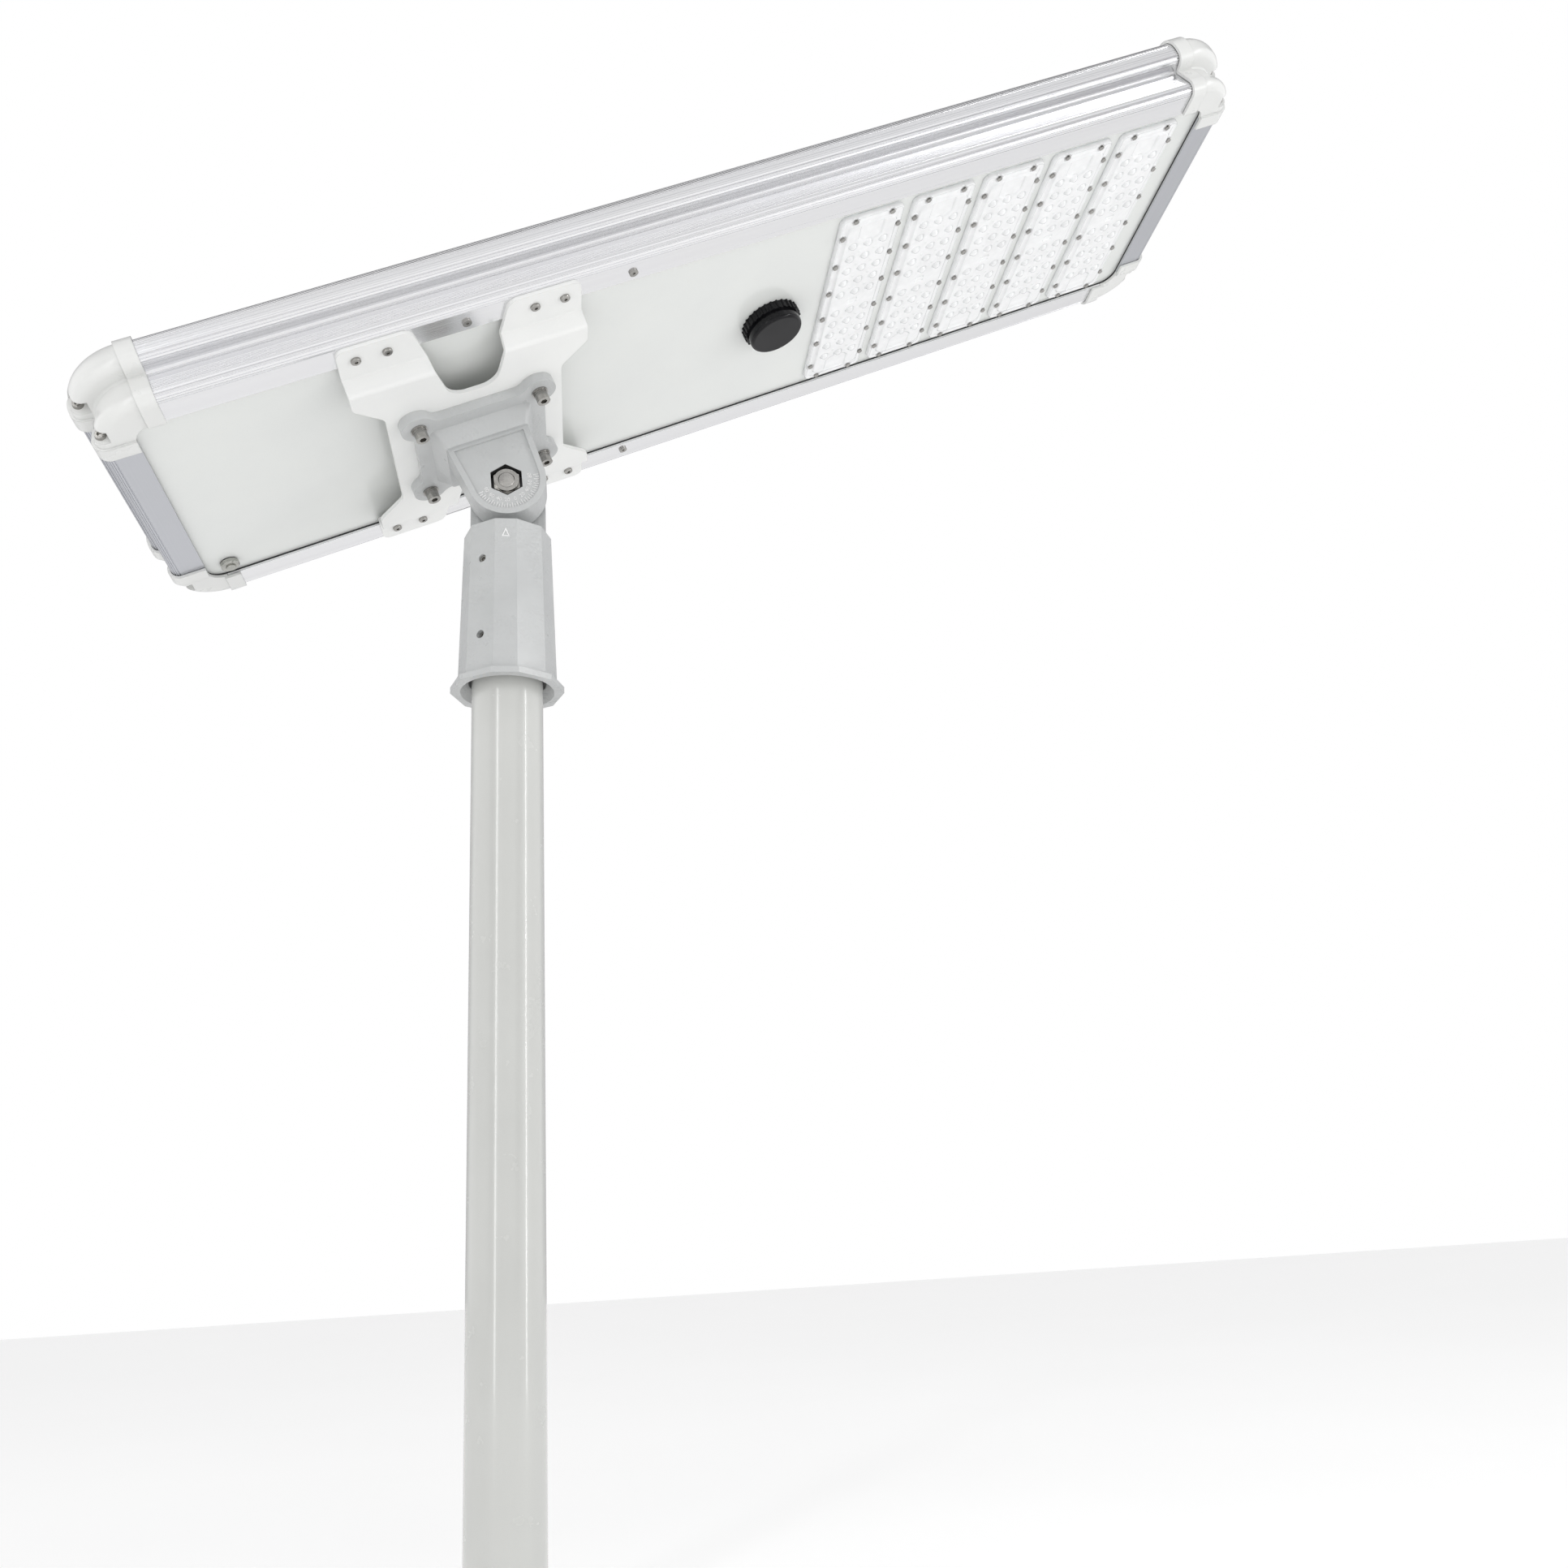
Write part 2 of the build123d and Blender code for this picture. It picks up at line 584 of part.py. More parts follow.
# ---------------------------------------------------------------- knuckle base
kb_spots = [(HINGE_U + a * KB_U, b * KB_W) for a in (-1, 1) for b in (-1, 1)]
PLATE_M0, PLATE_M1 = -24.0, -34.0
EAR_W, SEAM = 33.0, 1.4
with BuildPart() as knuckle:
    with BuildSketch(at_m(PLATE_M0)) as lobes:
        with Locations((HINGE_U, 0)):
            Rectangle(2 * 66.0, 2 * 61.0)
        with Locations(*kb_spots):
            Circle(17.0)
        fillet(
            [
                v
                for v in lobes.vertices()
                if min(abs(abs(v.X - HINGE_U) - 66.0), abs(abs(v.Y) - 61.0)) < 0.01
                and not (abs(v.X - HINGE_U) > 70 or abs(v.Y) > 66)
            ],
            13.0,
        )
    extrude(amount=-(PLATE_M0 - PLATE_M1))
    # raised pedestal
    with BuildSketch(at_m(PLATE_M1 + 0.5)):
        with Locations((HINGE_U, 0)):
            RectangleRounded(104, 92, 6)
    with BuildSketch(at_m(-50.0)):
        with Locations((HINGE_U, 0)):
            RectangleRounded(84, 72, 4)
    loft()
    # ear on the near side
    with BuildSketch(at_w(-EAR_W)):
        with Locations((HINGE_U, HINGE_M)):
            Circle(EAR_R)
        with BuildLine():
            Polyline(
                (HINGE_U - EAR_R, HINGE_M), (HINGE_U - 41.5, -45.0), (HINGE_U + 41.5, -45.0), (HINGE_U + EAR_R, HINGE_M), close=True
            )
        make_face()
    extrude(amount=-(EAR_W - SEAM))
    # recessed protractor face inside a raised rim
    with BuildSketch(at_w(-EAR_W)):
        with Locations((HINGE_U, HINGE_M)):
            Circle(EAR_R - 6.0)
        with BuildLine():
            Polyline(
                (HINGE_U - EAR_R + 6, HINGE_M), (HINGE_U - 35.5, -53.0), (HINGE_U + 35.5, -53.0), (HINGE_U + EAR_R - 6, HINGE_M), close=True
            )
        make_face()
    extrude(amount=-2.2, mode=Mode.SUBTRACT)
    # hexagonal pocket for the nut, and the bolt hole
    with BuildSketch(at_w(-EAR_W)):
        with Locations((HINGE_U, HINGE_M)):
            RegularPolygon(14.8, 6, major_radius=False, rotation=12)
    extrude(amount=-15.0, mode=Mode.SUBTRACT)
    with BuildSketch(at_w(-EAR_W)):
        with Locations((HINGE_U, HINGE_M)):
            Circle(TILT_BORE_R)
    extrude(amount=-60.0, mode=Mode.SUBTRACT)
    # radial teeth on the face that meets the sleeve's ear
    with BuildSketch(at_w(-SEAM)):
        with Locations((HINGE_U, HINGE_M)):
            with PolarLocations(28.0, 36):
                Rectangle(17.0, 2.4)
    extrude(amount=-1.2)
    with BuildSketch(at_m(0)):
        with Locations(*kb_spots):
            Circle(4.25)
    extrude(amount=-60, mode=Mode.SUBTRACT)
save(knuckle, "knuckle_base")

with BuildPart() as kb_washers:
    with BuildSketch(at_m(PLATE_M1)):
        with Locations(*kb_spots):
            Circle(8.0)
            Circle(4.2, mode=Mode.SUBTRACT)
    extrude(amount=-1.6)
    with BuildSketch(at_m(PLATE_M1 - 1.6)):
        with Locations(*kb_spots):
            Circle(6.9)
            Circle(4.2, mode=Mode.SUBTRACT)
    extrude(amount=-2.0)
save(kb_washers, "knuckle_washers")

with BuildPart() as kb_bolts:
    with BuildSketch(at_m(PLATE_M1 - 3.6)):
        with Locations(*kb_spots):
            Circle(6.5)
    extrude(amount=-8.0)
    with BuildSketch(at_m(PLATE_M1 - 3.6)):
        with Locations(*kb_spots):
            Circle(4.0)
    extrude(amount=26.0)
    with BuildSketch(at_m(PLATE_M1 - 11.6)):
        with Locations(*kb_spots):
            RegularPolygon(3.5, 6)
    extrude(amount=4.0, mode=Mode.SUBTRACT)
save(kb_bolts, "knuckle_bolts")

with BuildPart() as kb_nuts:
    with BuildSketch(at_m(-20.0)):
        with Locations(*kb_spots):
            RegularPolygon(6.5, 6, major_radius=False)
            Circle(4.05, mode=Mode.SUBTRACT)
    extrude(amount=6.5)
save(kb_nuts, "knuckle_nuts")

# ---------------------------------------------------------------- pole sleeve
# Ten facets: narrow ones front and back, the rest 38 degrees wide.
FACETS = [-14, 14, 52, 90, 128, 166, 194, 232, 270, 308]


def decagon(r):
    return [
        (r * math.sin(math.radians(a)), -r * math.cos(math.radians(a))) for a in FACETS
    ]


GRUBS = [(-33.0, 86.5), (-33.0, 165.5), (109.0, 86.5), (109.0, 165.5), (213.0, 86.5), (213.0, 165.5)]


def grub_plane(angle, drop, r):
    a = math.radians(angle)
    out = (math.sin(a), -math.cos(a), 0)
    return Plane(
        origin=(r * out[0], r * out[1], HINGE_Z - drop), x_dir=(math.cos(a), math.sin(a), 0), z_dir=out
    )


with BuildPart() as sleeve:
    with BuildSketch(Plane.XY.offset(HINGE_Z - SLEEVE_TOP)):
        with BuildLine():
            Polyline(*decagon(41.6), close=True)
        make_face()
    with BuildSketch(Plane.XY.offset(HINGE_Z - SLEEVE_FOOT)):
        with BuildLine():
            Polyline(*decagon(46.2), close=True)
        make_face()
    loft(ruled=True)
    with BuildSketch(Plane.XY.offset(HINGE_Z - SLEEVE_FOOT)):
        with BuildLine():
            Polyline(*decagon(52.8), close=True)
        make_face()
    extrude(amount=-FLANGE_T)
    # ear on the far side of the seam
    with BuildSketch(Plane.XZ.offset(-SEAM)):
        with Locations((0, HINGE_Z)):
            Circle(EAR_R - 2.0)
        with BuildLine():
            Polyline(
                (-EAR_R + 2.0, HINGE_Z), (-EAR_R + 2.0, HINGE_Z - SLEEVE_TOP - 4), (EAR_R - 2.0, HINGE_Z - SLEEVE_TOP - 4), (EAR_R - 2.0, HINGE_Z), close=True
            )
        make_face()
    extrude(amount=-(32.0 - SEAM))
    # pole socket with a flared mouth
    with BuildSketch(Plane.XY.offset(HINGE_Z - SLEEVE_FOOT - FLANGE_T)):
        Circle(SLEEVE_BORE_R)
    extrude(amount=SLEEVE_FOOT + FLANGE_T - SLEEVE_TOP - 8.0, mode=Mode.SUBTRACT)
    with BuildSketch(Plane.XY.offset(HINGE_Z - SLEEVE_FOOT - FLANGE_T)):
        Circle(43.5)
    with BuildSketch(Plane.XY.offset(HINGE_Z - SLEEVE_FOOT + 3.0)):
        Circle(SLEEVE_BORE_R)
    loft(mode=Mode.SUBTRACT)
    # bolt hole through the ear
    with BuildSketch(Plane.XZ.offset(10)):
        with Locations((0, HINGE_Z)):
            Circle(TILT_BORE_R)
    extrude(amount=-60, mode=Mode.SUBTRACT)
    # mating radial teeth
    with BuildSketch(Plane.XZ.offset(-SEAM)):
        with Locations((0, HINGE_Z)):
            with PolarLocations(27.0, 36, start_angle=5.0):
                Rectangle(15.0, 2.2)
    extrude(amount=1.2)
    # tapped holes for the grub screws
    for angle, drop in GRUBS:
        with BuildSketch(grub_plane(angle, drop, 30.0)):
            Circle(4.0)
        extrude(amount=25.0, mode=Mode.SUBTRACT)
    # raised pointer under the protractor
    with BuildSketch(Plane.XZ.offset(39.0)):
        with BuildLine():
            Polyline((-3.8, HINGE_Z - 66.8), (3.8, HINGE_Z - 66.8), (0, HINGE_Z - 57.6), close=True)
        make_face()
        with BuildLine():
            Polyline((-2.3, HINGE_Z - 65.9), (2.3, HINGE_Z - 65.9), (0, HINGE_Z - 60.3), close=True)
        make_face(mode=Mode.SUBTRACT)
    extrude(amount=2.2)
save(sleeve, "pole_sleeve")

with BuildPart() as grubs:
    for angle, drop in GRUBS:
        with BuildSketch(grub_plane(angle, drop, POLE_R + 0.06)):
            Circle(3.95)
        extrude(amount=5.4)
        with BuildSketch(grub_plane(angle, drop, POLE_R + 5.46)):
            RegularPolygon(2.3, 6)
        extrude(amount=-3.0, mode=Mode.SUBTRACT)
save(grubs, "sleeve_grub_screws")

# ---------------------------------------------------------------- tilt bolt set
with BuildPart() as tilt_bolt:
    with BuildSketch(Plane.XZ.offset(31.5)):
        with Locations((0, HINGE_Z)):
            Circle(TILT_BOLT_R)
    extrude(amount=-(31.5 + 34.6))
    with BuildSketch(Plane.XZ.offset(-34.6)):
        with Locations((0, HINGE_Z)):
            RegularPolygon(12.0, 6, major_radius=False)
    extrude(amount=-8.8)
    chamfer(tilt_bolt.edges().filter_by(GeomType.CIRCLE).sort_by(Axis.Y)[0], 1.0)
save(tilt_bolt, "tilt_bolt")

with BuildPart() as tilt_washer:
    with BuildSketch(Plane.XZ.offset(-32.1)):
        with Locations((0, HINGE_Z)):
            Circle(15.0)
            Circle(TILT_BORE_R, mode=Mode.SUBTRACT)
    extrude(amount=-2.5)
save(tilt_washer, "tilt_washer")

with BuildPart() as tilt_nut:
    with BuildSketch(Plane.XZ.offset(18.2)):
        with Locations((0, HINGE_Z)):
            RegularPolygon(12.2, 6, major_radius=False, rotation=12 + TILT)
            Circle(TILT_BOLT_R + 0.01, mode=Mode.SUBTRACT)
    extrude(amount=9.0)
    with BuildSketch(Plane.XZ.offset(27.2)):
        with Locations((0, HINGE_Z)):
            Circle(11.9)
            Circle(TILT_BOLT_R + 0.01, mode=Mode.SUBTRACT)
    extrude(amount=3.0)
save(tilt_nut, "tilt_nut")

# ---------------------------------------------------------------- pole
with BuildPart() as pole:
    with BuildSketch(Plane.XY):
        Circle(POLE_R)
        Circle(POLE_BORE_R, mode=Mode.SUBTRACT)
    extrude(amount=HINGE_Z - SLEEVE_TOP - 8.0 - 0.5)
save(pole, "pole_tube")

# ---------------------------------------------------------------- inside the head
BAT_U, BAT_L, BAT_W, BAT_H = -330.0, 352.0, 218.0, 40.0
with BuildPart() as battery_case:
    with BuildSketch(at_m(PAN_T)):
        with Locations((BAT_U, 0)):
            RectangleRounded(BAT_L, BAT_W, 8)
    extrude(amount=BAT_H)
    with BuildSketch(at_m(PAN_T + 2)):
        with Locations((BAT_U, 0)):
            RectangleRounded(BAT_L - 4, BAT_W - 4, 6)
    extrude(amount=BAT_H - 4, mode=Mode.SUBTRACT)
    with BuildSketch(at_u(BAT_U + BAT_L / 2 - 5)):
        with Locations((0, 21.5)):
            Circle(3.2)
    extrude(amount=10, mode=Mode.SUBTRACT)
save(battery_case, "battery_case")

with BuildPart() as battery_cells:
    with BuildSketch(at_w(-103.0)):
        with Locations(*[(BAT_U - 153 + i * 34.0, 21.5) for i in range(10)]):
            Circle(16.1)
    extrude(amount=-68.0)
    with BuildSketch(at_w(-34.0)):
        with Locations(*[(BAT_U - 153 + i * 34.0, 21.5) for i in range(10)]):
            Circle(16.1)
    extrude(amount=-68.0)
    with BuildSketch(at_w(35.0)):
        with Locations(*[(BAT_U - 153 + i * 34.0, 21.5) for i in range(10)]):
            Circle(16.1)
    extrude(amount=-68.0)
save(battery_cells, "battery_cells")

with BuildPart() as battery_straps:
    for u in (-440.0, -220.0):
        with BuildSketch(at_u(u - 10)):
            with BuildLine():
                Polyline(
                    (-128, 1.5), (-109.2, 1.5), (-109.2, 41.7), (109.2, 41.7), (109.2, 1.5), (128, 1.5),
                    (128, 3.3), (111, 3.3), (111, 43.5), (-111, 43.5), (-111, 3.3), (-128, 3.3), close=True,
                )
            make_face()
        extrude(amount=20)
save(battery_straps, "battery_straps")

with BuildPart() as controller:
    with BuildSketch(at_m(PAN_T)):
        with Locations((-60, -20)):
            RectangleRounded(140, 90, 5)
    extrude(amount=28)
    fillet(controller.faces().sort_by(Axis(HEAD.origin, HEAD.z_dir))[-1].edges(), 2.5)
    with BuildSketch(at_m(PAN_T)):
        with Locations((-60, -20)):
            RectangleRounded(136, 108, 4)
    extrude(amount=2)
save(controller, "charge_controller")


def cable(name, pts, radii, r):
    """Tube along straight runs joined by tangent arcs, in head axes."""
    world = [HEAD.from_local_coords(Vector(*p)) for p in pts]
    with BuildPart() as tube:
        with BuildLine() as path:
            FilletPolyline(*world, radius=radii)
        with BuildSketch(Plane(origin=path.line @ 0, z_dir=path.line % 0)):
            Circle(r)
        sweep()
    save(tube, name)


cable("cable_battery", [(-153.9, 0, 21.5), (-147, 0, 21.5), (-137, -6, 17), (-130.1, -6, 17)], [6, 6], 2.5)
cable("cable_led", [(10.1, -40, 15), (30, -40, 15), (60, -100, 15), (520, -100, 15)], [14, 30], 3.5)
cable("cable_sensor", [(SENSOR_U, 0, 22.1), (SENSOR_U, 0, 38), (30, -5, 38), (30, -5, 17), (10.1, -5, 17)], [8, 8, 8], 2.5)
cable("cable_panel", [(194.9, 60, 42), (170, 60, 42), (60, 40, 26), (28, 12, 16), (10.1, 12, 16)], [25, 30, 10], 3.0)
cable("cable_switch", [(SWITCH_U, SWITCH_W, 21.9), (SWITCH_U, SWITCH_W, 34), (-510, 132, 38), (-180, 132, 38), (-60, 80, 18), (-60, 25.1, 18)], [8, 18, 40, 20], 2.0)
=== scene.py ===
import math

import bmesh
import bpy
import numpy as np
from mathutils import Euler, Matrix, Vector
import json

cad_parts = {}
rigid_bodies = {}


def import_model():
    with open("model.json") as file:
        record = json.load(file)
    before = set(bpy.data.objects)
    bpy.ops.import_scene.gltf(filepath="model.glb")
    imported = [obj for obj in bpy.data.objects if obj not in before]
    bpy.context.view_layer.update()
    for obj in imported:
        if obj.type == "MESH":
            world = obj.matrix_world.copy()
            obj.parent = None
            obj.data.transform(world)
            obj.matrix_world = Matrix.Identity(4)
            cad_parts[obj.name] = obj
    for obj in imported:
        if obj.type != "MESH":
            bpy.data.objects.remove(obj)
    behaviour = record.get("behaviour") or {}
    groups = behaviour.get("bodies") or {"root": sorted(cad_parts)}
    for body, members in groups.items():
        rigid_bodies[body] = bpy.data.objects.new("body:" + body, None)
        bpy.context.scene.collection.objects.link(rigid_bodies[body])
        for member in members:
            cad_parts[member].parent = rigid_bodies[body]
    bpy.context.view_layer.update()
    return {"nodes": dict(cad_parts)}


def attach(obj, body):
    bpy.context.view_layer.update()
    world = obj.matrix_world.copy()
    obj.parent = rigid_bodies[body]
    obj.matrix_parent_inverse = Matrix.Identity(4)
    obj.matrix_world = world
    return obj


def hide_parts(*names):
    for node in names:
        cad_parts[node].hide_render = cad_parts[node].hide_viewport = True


for o in list(bpy.data.objects):
    bpy.data.objects.remove(o, do_unlink=True)

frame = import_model()
nodes = frame["nodes"]
scene = bpy.context.scene
MM = 0.001

# ------------------------------------------------------------------ head axes
# u along the head towards the LED end, w across it, m up towards the panel
TILT = math.radians(22.0)
HINGE_Z = 1.0
HINGE_U, HINGE_M = -0.263, -0.098
cT, sT = math.cos(TILT), math.sin(TILT)
HEAD_O = Vector((-HINGE_U * cT + HINGE_M * sT, 0.0, HINGE_Z - HINGE_U * sT - HINGE_M * cT))
HEAD = Matrix((
    (cT, 0.0, -sT, HEAD_O.x),
    (0.0, 1.0, 0.0, 0.0),
    (sT, 0.0, cT, HEAD_O.z),
    (0.0, 0.0, 0.0, 1.0),
))


def at(u, w, m):
    """Matrix of a spot in head axes, in millimetres."""
    return HEAD @ Matrix.Translation((u * MM, w * MM, m * MM))


# ------------------------------------------------------------------ materials
class Mat:
    """Small helper around a node material."""

    def __init__(self, name):
        self.m = bpy.data.materials.new(name)
        self.m.use_nodes = True
        self.t = self.m.node_tree
        self.t.nodes.clear()
        self.out = self.n("ShaderNodeOutputMaterial")

    def n(self, kind, **props):
        node = self.t.nodes.new(kind)
        for k, v in props.items():
            setattr(node, k, v)
        return node

    def put(self, socket, value):
        if isinstance(value, bpy.types.NodeSocket):
            self.t.links.new(value, socket)
        elif isinstance(value, bpy.types.Node):
            self.t.links.new(value.outputs[0], socket)
        elif value is not None:
            if isinstance(value, (tuple, list)) and len(value) == 3 and socket.type == "RGBA":
                value = (*value, 1.0)
            socket.default_value = value

    def math(self, op, a, b=None, c=None, clamp=False):
        node = self.n("ShaderNodeMath", operation=op, use_clamp=clamp)
        self.put(node.inputs[0], a)
        if b is not None:
            self.put(node.inputs[1], b)
        if c is not None:
            self.put(node.inputs[2], c)
        return node.outputs[0]

    def coords(self):
        return self.n("ShaderNodeTexCoord").outputs["Object"]

    def head_coords(self):
        """Position in head axes, metres."""
        mp = self.n("ShaderNodeMapping", vector_type="TEXTURE")
        mp.inputs["Location"].default_value = HEAD_O
        mp.inputs["Rotation"].default_value = (0.0, -TILT, 0.0)
        self.put(mp.inputs["Vector"], self.coords())
        return mp.outputs[0]

    def scaled(self, vec, s):
        mp = self.n("ShaderNodeVectorMath", operation="MULTIPLY")
        self.put(mp.inputs[0], vec)
        mp.inputs[1].default_value = s
        return mp.outputs[0]

    def noise(self, vec, scale, detail=2.0, rough=0.5, dist=0.0):
        node = self.n("ShaderNodeTexNoise")
        self.put(node.inputs["Vector"], vec)
        node.inputs["Scale"].default_value = scale
        node.inputs["Detail"].default_value = detail
        node.inputs["Roughness"].default_value = rough
        node.inputs["Distortion"].default_value = dist
        return node.outputs[0]

    def voronoi(self, vec, scale, feature="SMOOTH_F1"):
        node = self.n("ShaderNodeTexVoronoi", feature=feature)
        self.put(node.inputs["Vector"], vec)
        node.inputs["Scale"].default_value = scale
        return node.outputs[0]

    def span(self, value, a, b, c, d):
        node = self.n("ShaderNodeMapRange", clamp=True)
        self.put(node.inputs[0], value)
        for i, x in enumerate((a, b, c, d), 1):
            node.inputs[i].default_value = x
        return node.outputs[0]

    def mix(self, fac, a, b, blend="MIX"):
        node = self.n("ShaderNodeMix", data_type="RGBA", blend_type=blend)
        self.put(node.inputs[0], fac)
        self.put(node.inputs[6], a)
        self.put(node.inputs[7], b)
        return node.outputs[2]

    def sep(self, vec):
        node = self.n("ShaderNodeSeparateXYZ")
        self.put(node.inputs[0], vec)
        return node.outputs

    def comb(self, x, y, z):
        node = self.n("ShaderNodeCombineXYZ")
        for i, v in enumerate((x, y, z)):
            self.put(node.inputs[i], v)
        return node.outputs[0]

    def bevel(self, radius_mm, samples=4):
        node = self.n("ShaderNodeBevel", samples=samples)
        node.inputs[0].default_value = radius_mm * MM
        return node.outputs[0]

    def bump(self, height, strength, distance_mm, normal=None):
        node = self.n("ShaderNodeBump")
        node.inputs["Strength"].default_value = strength
        node.inputs["Distance"].default_value = distance_mm * MM
        self.put(node.inputs["Height"], height)
        if normal is not None:
            self.put(node.inputs["Normal"], normal)
        return node.outputs[0]

    def bsdf(self, color=None, rough=None, metal=0.0, normal=None, coat=0.0, coat_rough=0.05, spec=0.5, **more):
        b = self.n("ShaderNodeBsdfPrincipled")
        self.put(b.inputs["Base Color"], color)
        self.put(b.inputs["Roughness"], rough)
        self.put(b.inputs["Metallic"], metal)
        self.put(b.inputs["Coat Weight"], coat)
        self.put(b.inputs["Coat Roughness"], coat_rough)
        self.put(b.inputs["Specular IOR Level"], spec)
        if normal is not None:
            self.put(b.inputs["Normal"], normal)
        for k, v in more.items():
            self.put(b.inputs[k.replace("_", " ")], v)
        return b

    def end(self, shader):
        self.put(self.out.inputs["Surface"], shader)
        return self.m


def paint(name, color, tint, rough, peel_mm, peel, edge_mm=0.8, coat=0.0, grain=0.0, coat_rough=0.08):
    """Sprayed finish: slow colour drift, orange peel and a finer grain, soft edges."""
    k = Mat(name)
    p = k.coords()
    drift = k.noise(p, 9.0, 3.0, 0.6)
    col = k.mix(k.span(drift, 0.35, 0.65, 0.0, 1.0), color, tint)
    specks = k.noise(p, 1400.0, 1.0)
    col = k.mix(k.span(specks, 0.30, 0.42, 0.10, 0.0), col, tuple(c * 0.72 for c in color))
    r = k.span(k.noise(p, 35.0, 4.0, 0.6), 0.3, 0.7, rough * 0.82, rough * 1.2)
    n = k.bevel(edge_mm)
    n = k.bump(k.noise(p, 1.0 / (peel_mm * MM), 2.0, 0.45), peel, 0.25, n)
    if grain:
        n = k.bump(k.noise(p, 1600.0, 2.0, 0.6), grain, 0.06, n)
    return k.end(k.bsdf(col, r, 0.0, n, coat, coat_rough))


def hammered(name, color, tint, edge_mm=0.5):
    """Cast aluminium under a hammered light paint."""
    k = Mat(name)
    p = k.coords()
    drift = k.noise(p, 14.0, 3.0, 0.6)
    col = k.mix(k.span(drift, 0.35, 0.65, 0.0, 1.0), color, tint)
    # painted shade: the inside of the nut pocket is painted near black, standing in for the shade deep in the recess
    hx, hy, hz = k.sep(k.head_coords())
    dx = k.math("SUBTRACT", hx, HINGE_U)
    dz = k.math("SUBTRACT", hz, HINGE_M)
    far = k.math("SQRT", k.math("ADD", k.math("MULTIPLY", dx, dx), k.math("MULTIPLY", dz, dz)))
    inside = k.math("MULTIPLY", k.span(far, 0.0176, 0.0180, 1.0, 0.0), k.span(hy, -0.0304, -0.0298, 0.0, 1.0))
    inside = k.math("MULTIPLY", inside, k.span(hy, -0.0150, -0.0140, 1.0, 0.0))
    col = k.mix(inside, col, (0.05, 0.05, 0.05))
    # the raised pointer on the sleeve's front facet is rubbed lighter
    px, py, pz = k.sep(p)
    mark = k.math("MULTIPLY", k.span(k.math("ABSOLUTE", px), 0.0042, 0.0044, 1.0, 0.0), k.span(py, -0.04098, -0.04092, 1.0, 0.0))
    mark = k.math("MULTIPLY", mark, k.math("MULTIPLY", k.span(pz, 0.9325, 0.9328, 0.0, 1.0), k.span(pz, 0.9428, 0.9431, 1.0, 0.0)))
    col = k.mix(mark, col, (0.90, 0.90, 0.90))
    patch = k.span(k.noise(p, 22.0, 2.0, 0.5), 0.42, 0.62, 0.15, 1.0)
    cells = k.voronoi(p, 340.0)
    fine = k.noise(p, 900.0, 3.0, 0.6)
    h = k.math("ADD", k.math("MULTIPLY", cells, 0.7), k.math("MULTIPLY", fine, 0.3))
    h = k.math("MULTIPLY", h, patch)
    n = k.bump(h, 1.0, 1.0, k.bevel(edge_mm, 6))
    r = k.span(k.noise(p, 60.0, 4.0, 0.6), 0.3, 0.7, 0.26, 0.42)
    return k.end(k.bsdf(col, r, 0.0, n, 0.25, 0.12))


def steel(name, color, rough, edge=0.3):
    k = Mat(name)
    p = k.coords()
    col = k.mix(k.span(k.noise(p, 120.0, 4.0, 0.6), 0.35, 0.65, 0.0, 1.0), color, tuple(c * 0.72 for c in color))
    r = k.span(k.noise(p, 300.0, 4.0, 0.65), 0.3, 0.7, rough * 0.7, rough * 1.4)
    n = k.bump(k.noise(p, 1800.0, 2.0, 0.6), 0.12, 0.05, k.bevel(edge))
    return k.end(k.bsdf(col, r, 1.0, n))


def anodised(name, dark=(0.76, 0.76, 0.775), light=(0.90, 0.90, 0.905), cool=(0.82, 0.825, 0.85), rough=(0.15, 0.26), across=False):
    """Extruded aluminium: die lines along the rail over a satin anodised finish."""
    k = Mat(name)
    h = k.head_coords()
    x, y, z = k.sep(h)
    if across:
        x, y = y, x
    along_side = k.comb(k.math("MULTIPLY", x, 0.35), k.math("MULTIPLY", y, 700.0), k.math("MULTIPLY", z, 700.0))
    lines = k.noise(along_side, 1.0, 3.0, 0.6)
    soft = k.noise(h, 8.0, 2.0, 0.5)
    col = k.mix(k.span(lines, 0.3, 0.7, 0.0, 1.0), dark, light)
    col = k.mix(k.span(soft, 0.35, 0.65, 0.0, 0.35), col, cool)
    r = k.span(lines, 0.25, 0.75, *rough)
    n = k.bump(lines, 0.02 if across else 0.05, 0.05)
    return k.end(k.bsdf(col, r, 1.0, n))


def rubber(name, color, rough=0.62):
    k = Mat(name)
    p = k.coords()
    col = k.mix(k.span(k.noise(p, 60.0, 3.0), 0.35, 0.65, 0.0, 1.0), color, tuple(min(1.0, c * 1.5 + 0.01) for c in color))
    n = k.bump(k.noise(p, 900.0, 3.0, 0.6), 0.25, 0.1, k.bevel(0.3))
    return k.end(k.bsdf(col, rough, 0.0, n))


def plastic(name, color, rough, grain=0.1, edge=0.6, coat=0.0, spec=0.5):
    k = Mat(name)
    p = k.coords()
    col = k.mix(k.span(k.noise(p, 40.0, 3.0), 0.35, 0.65, 0.0, 1.0), color, tuple(min(1.0, c * 1.35 + 0.003) for c in color))
    r = k.span(k.noise(p, 90.0, 4.0, 0.6), 0.3, 0.7, rough * 0.75, rough * 1.3)
    n = k.bump(k.noise(p, 1300.0, 2.0, 0.6), grain, 0.05, k.bevel(edge))
    return k.end(k.bsdf(col, r, 0.0, n, coat, 0.05, spec))


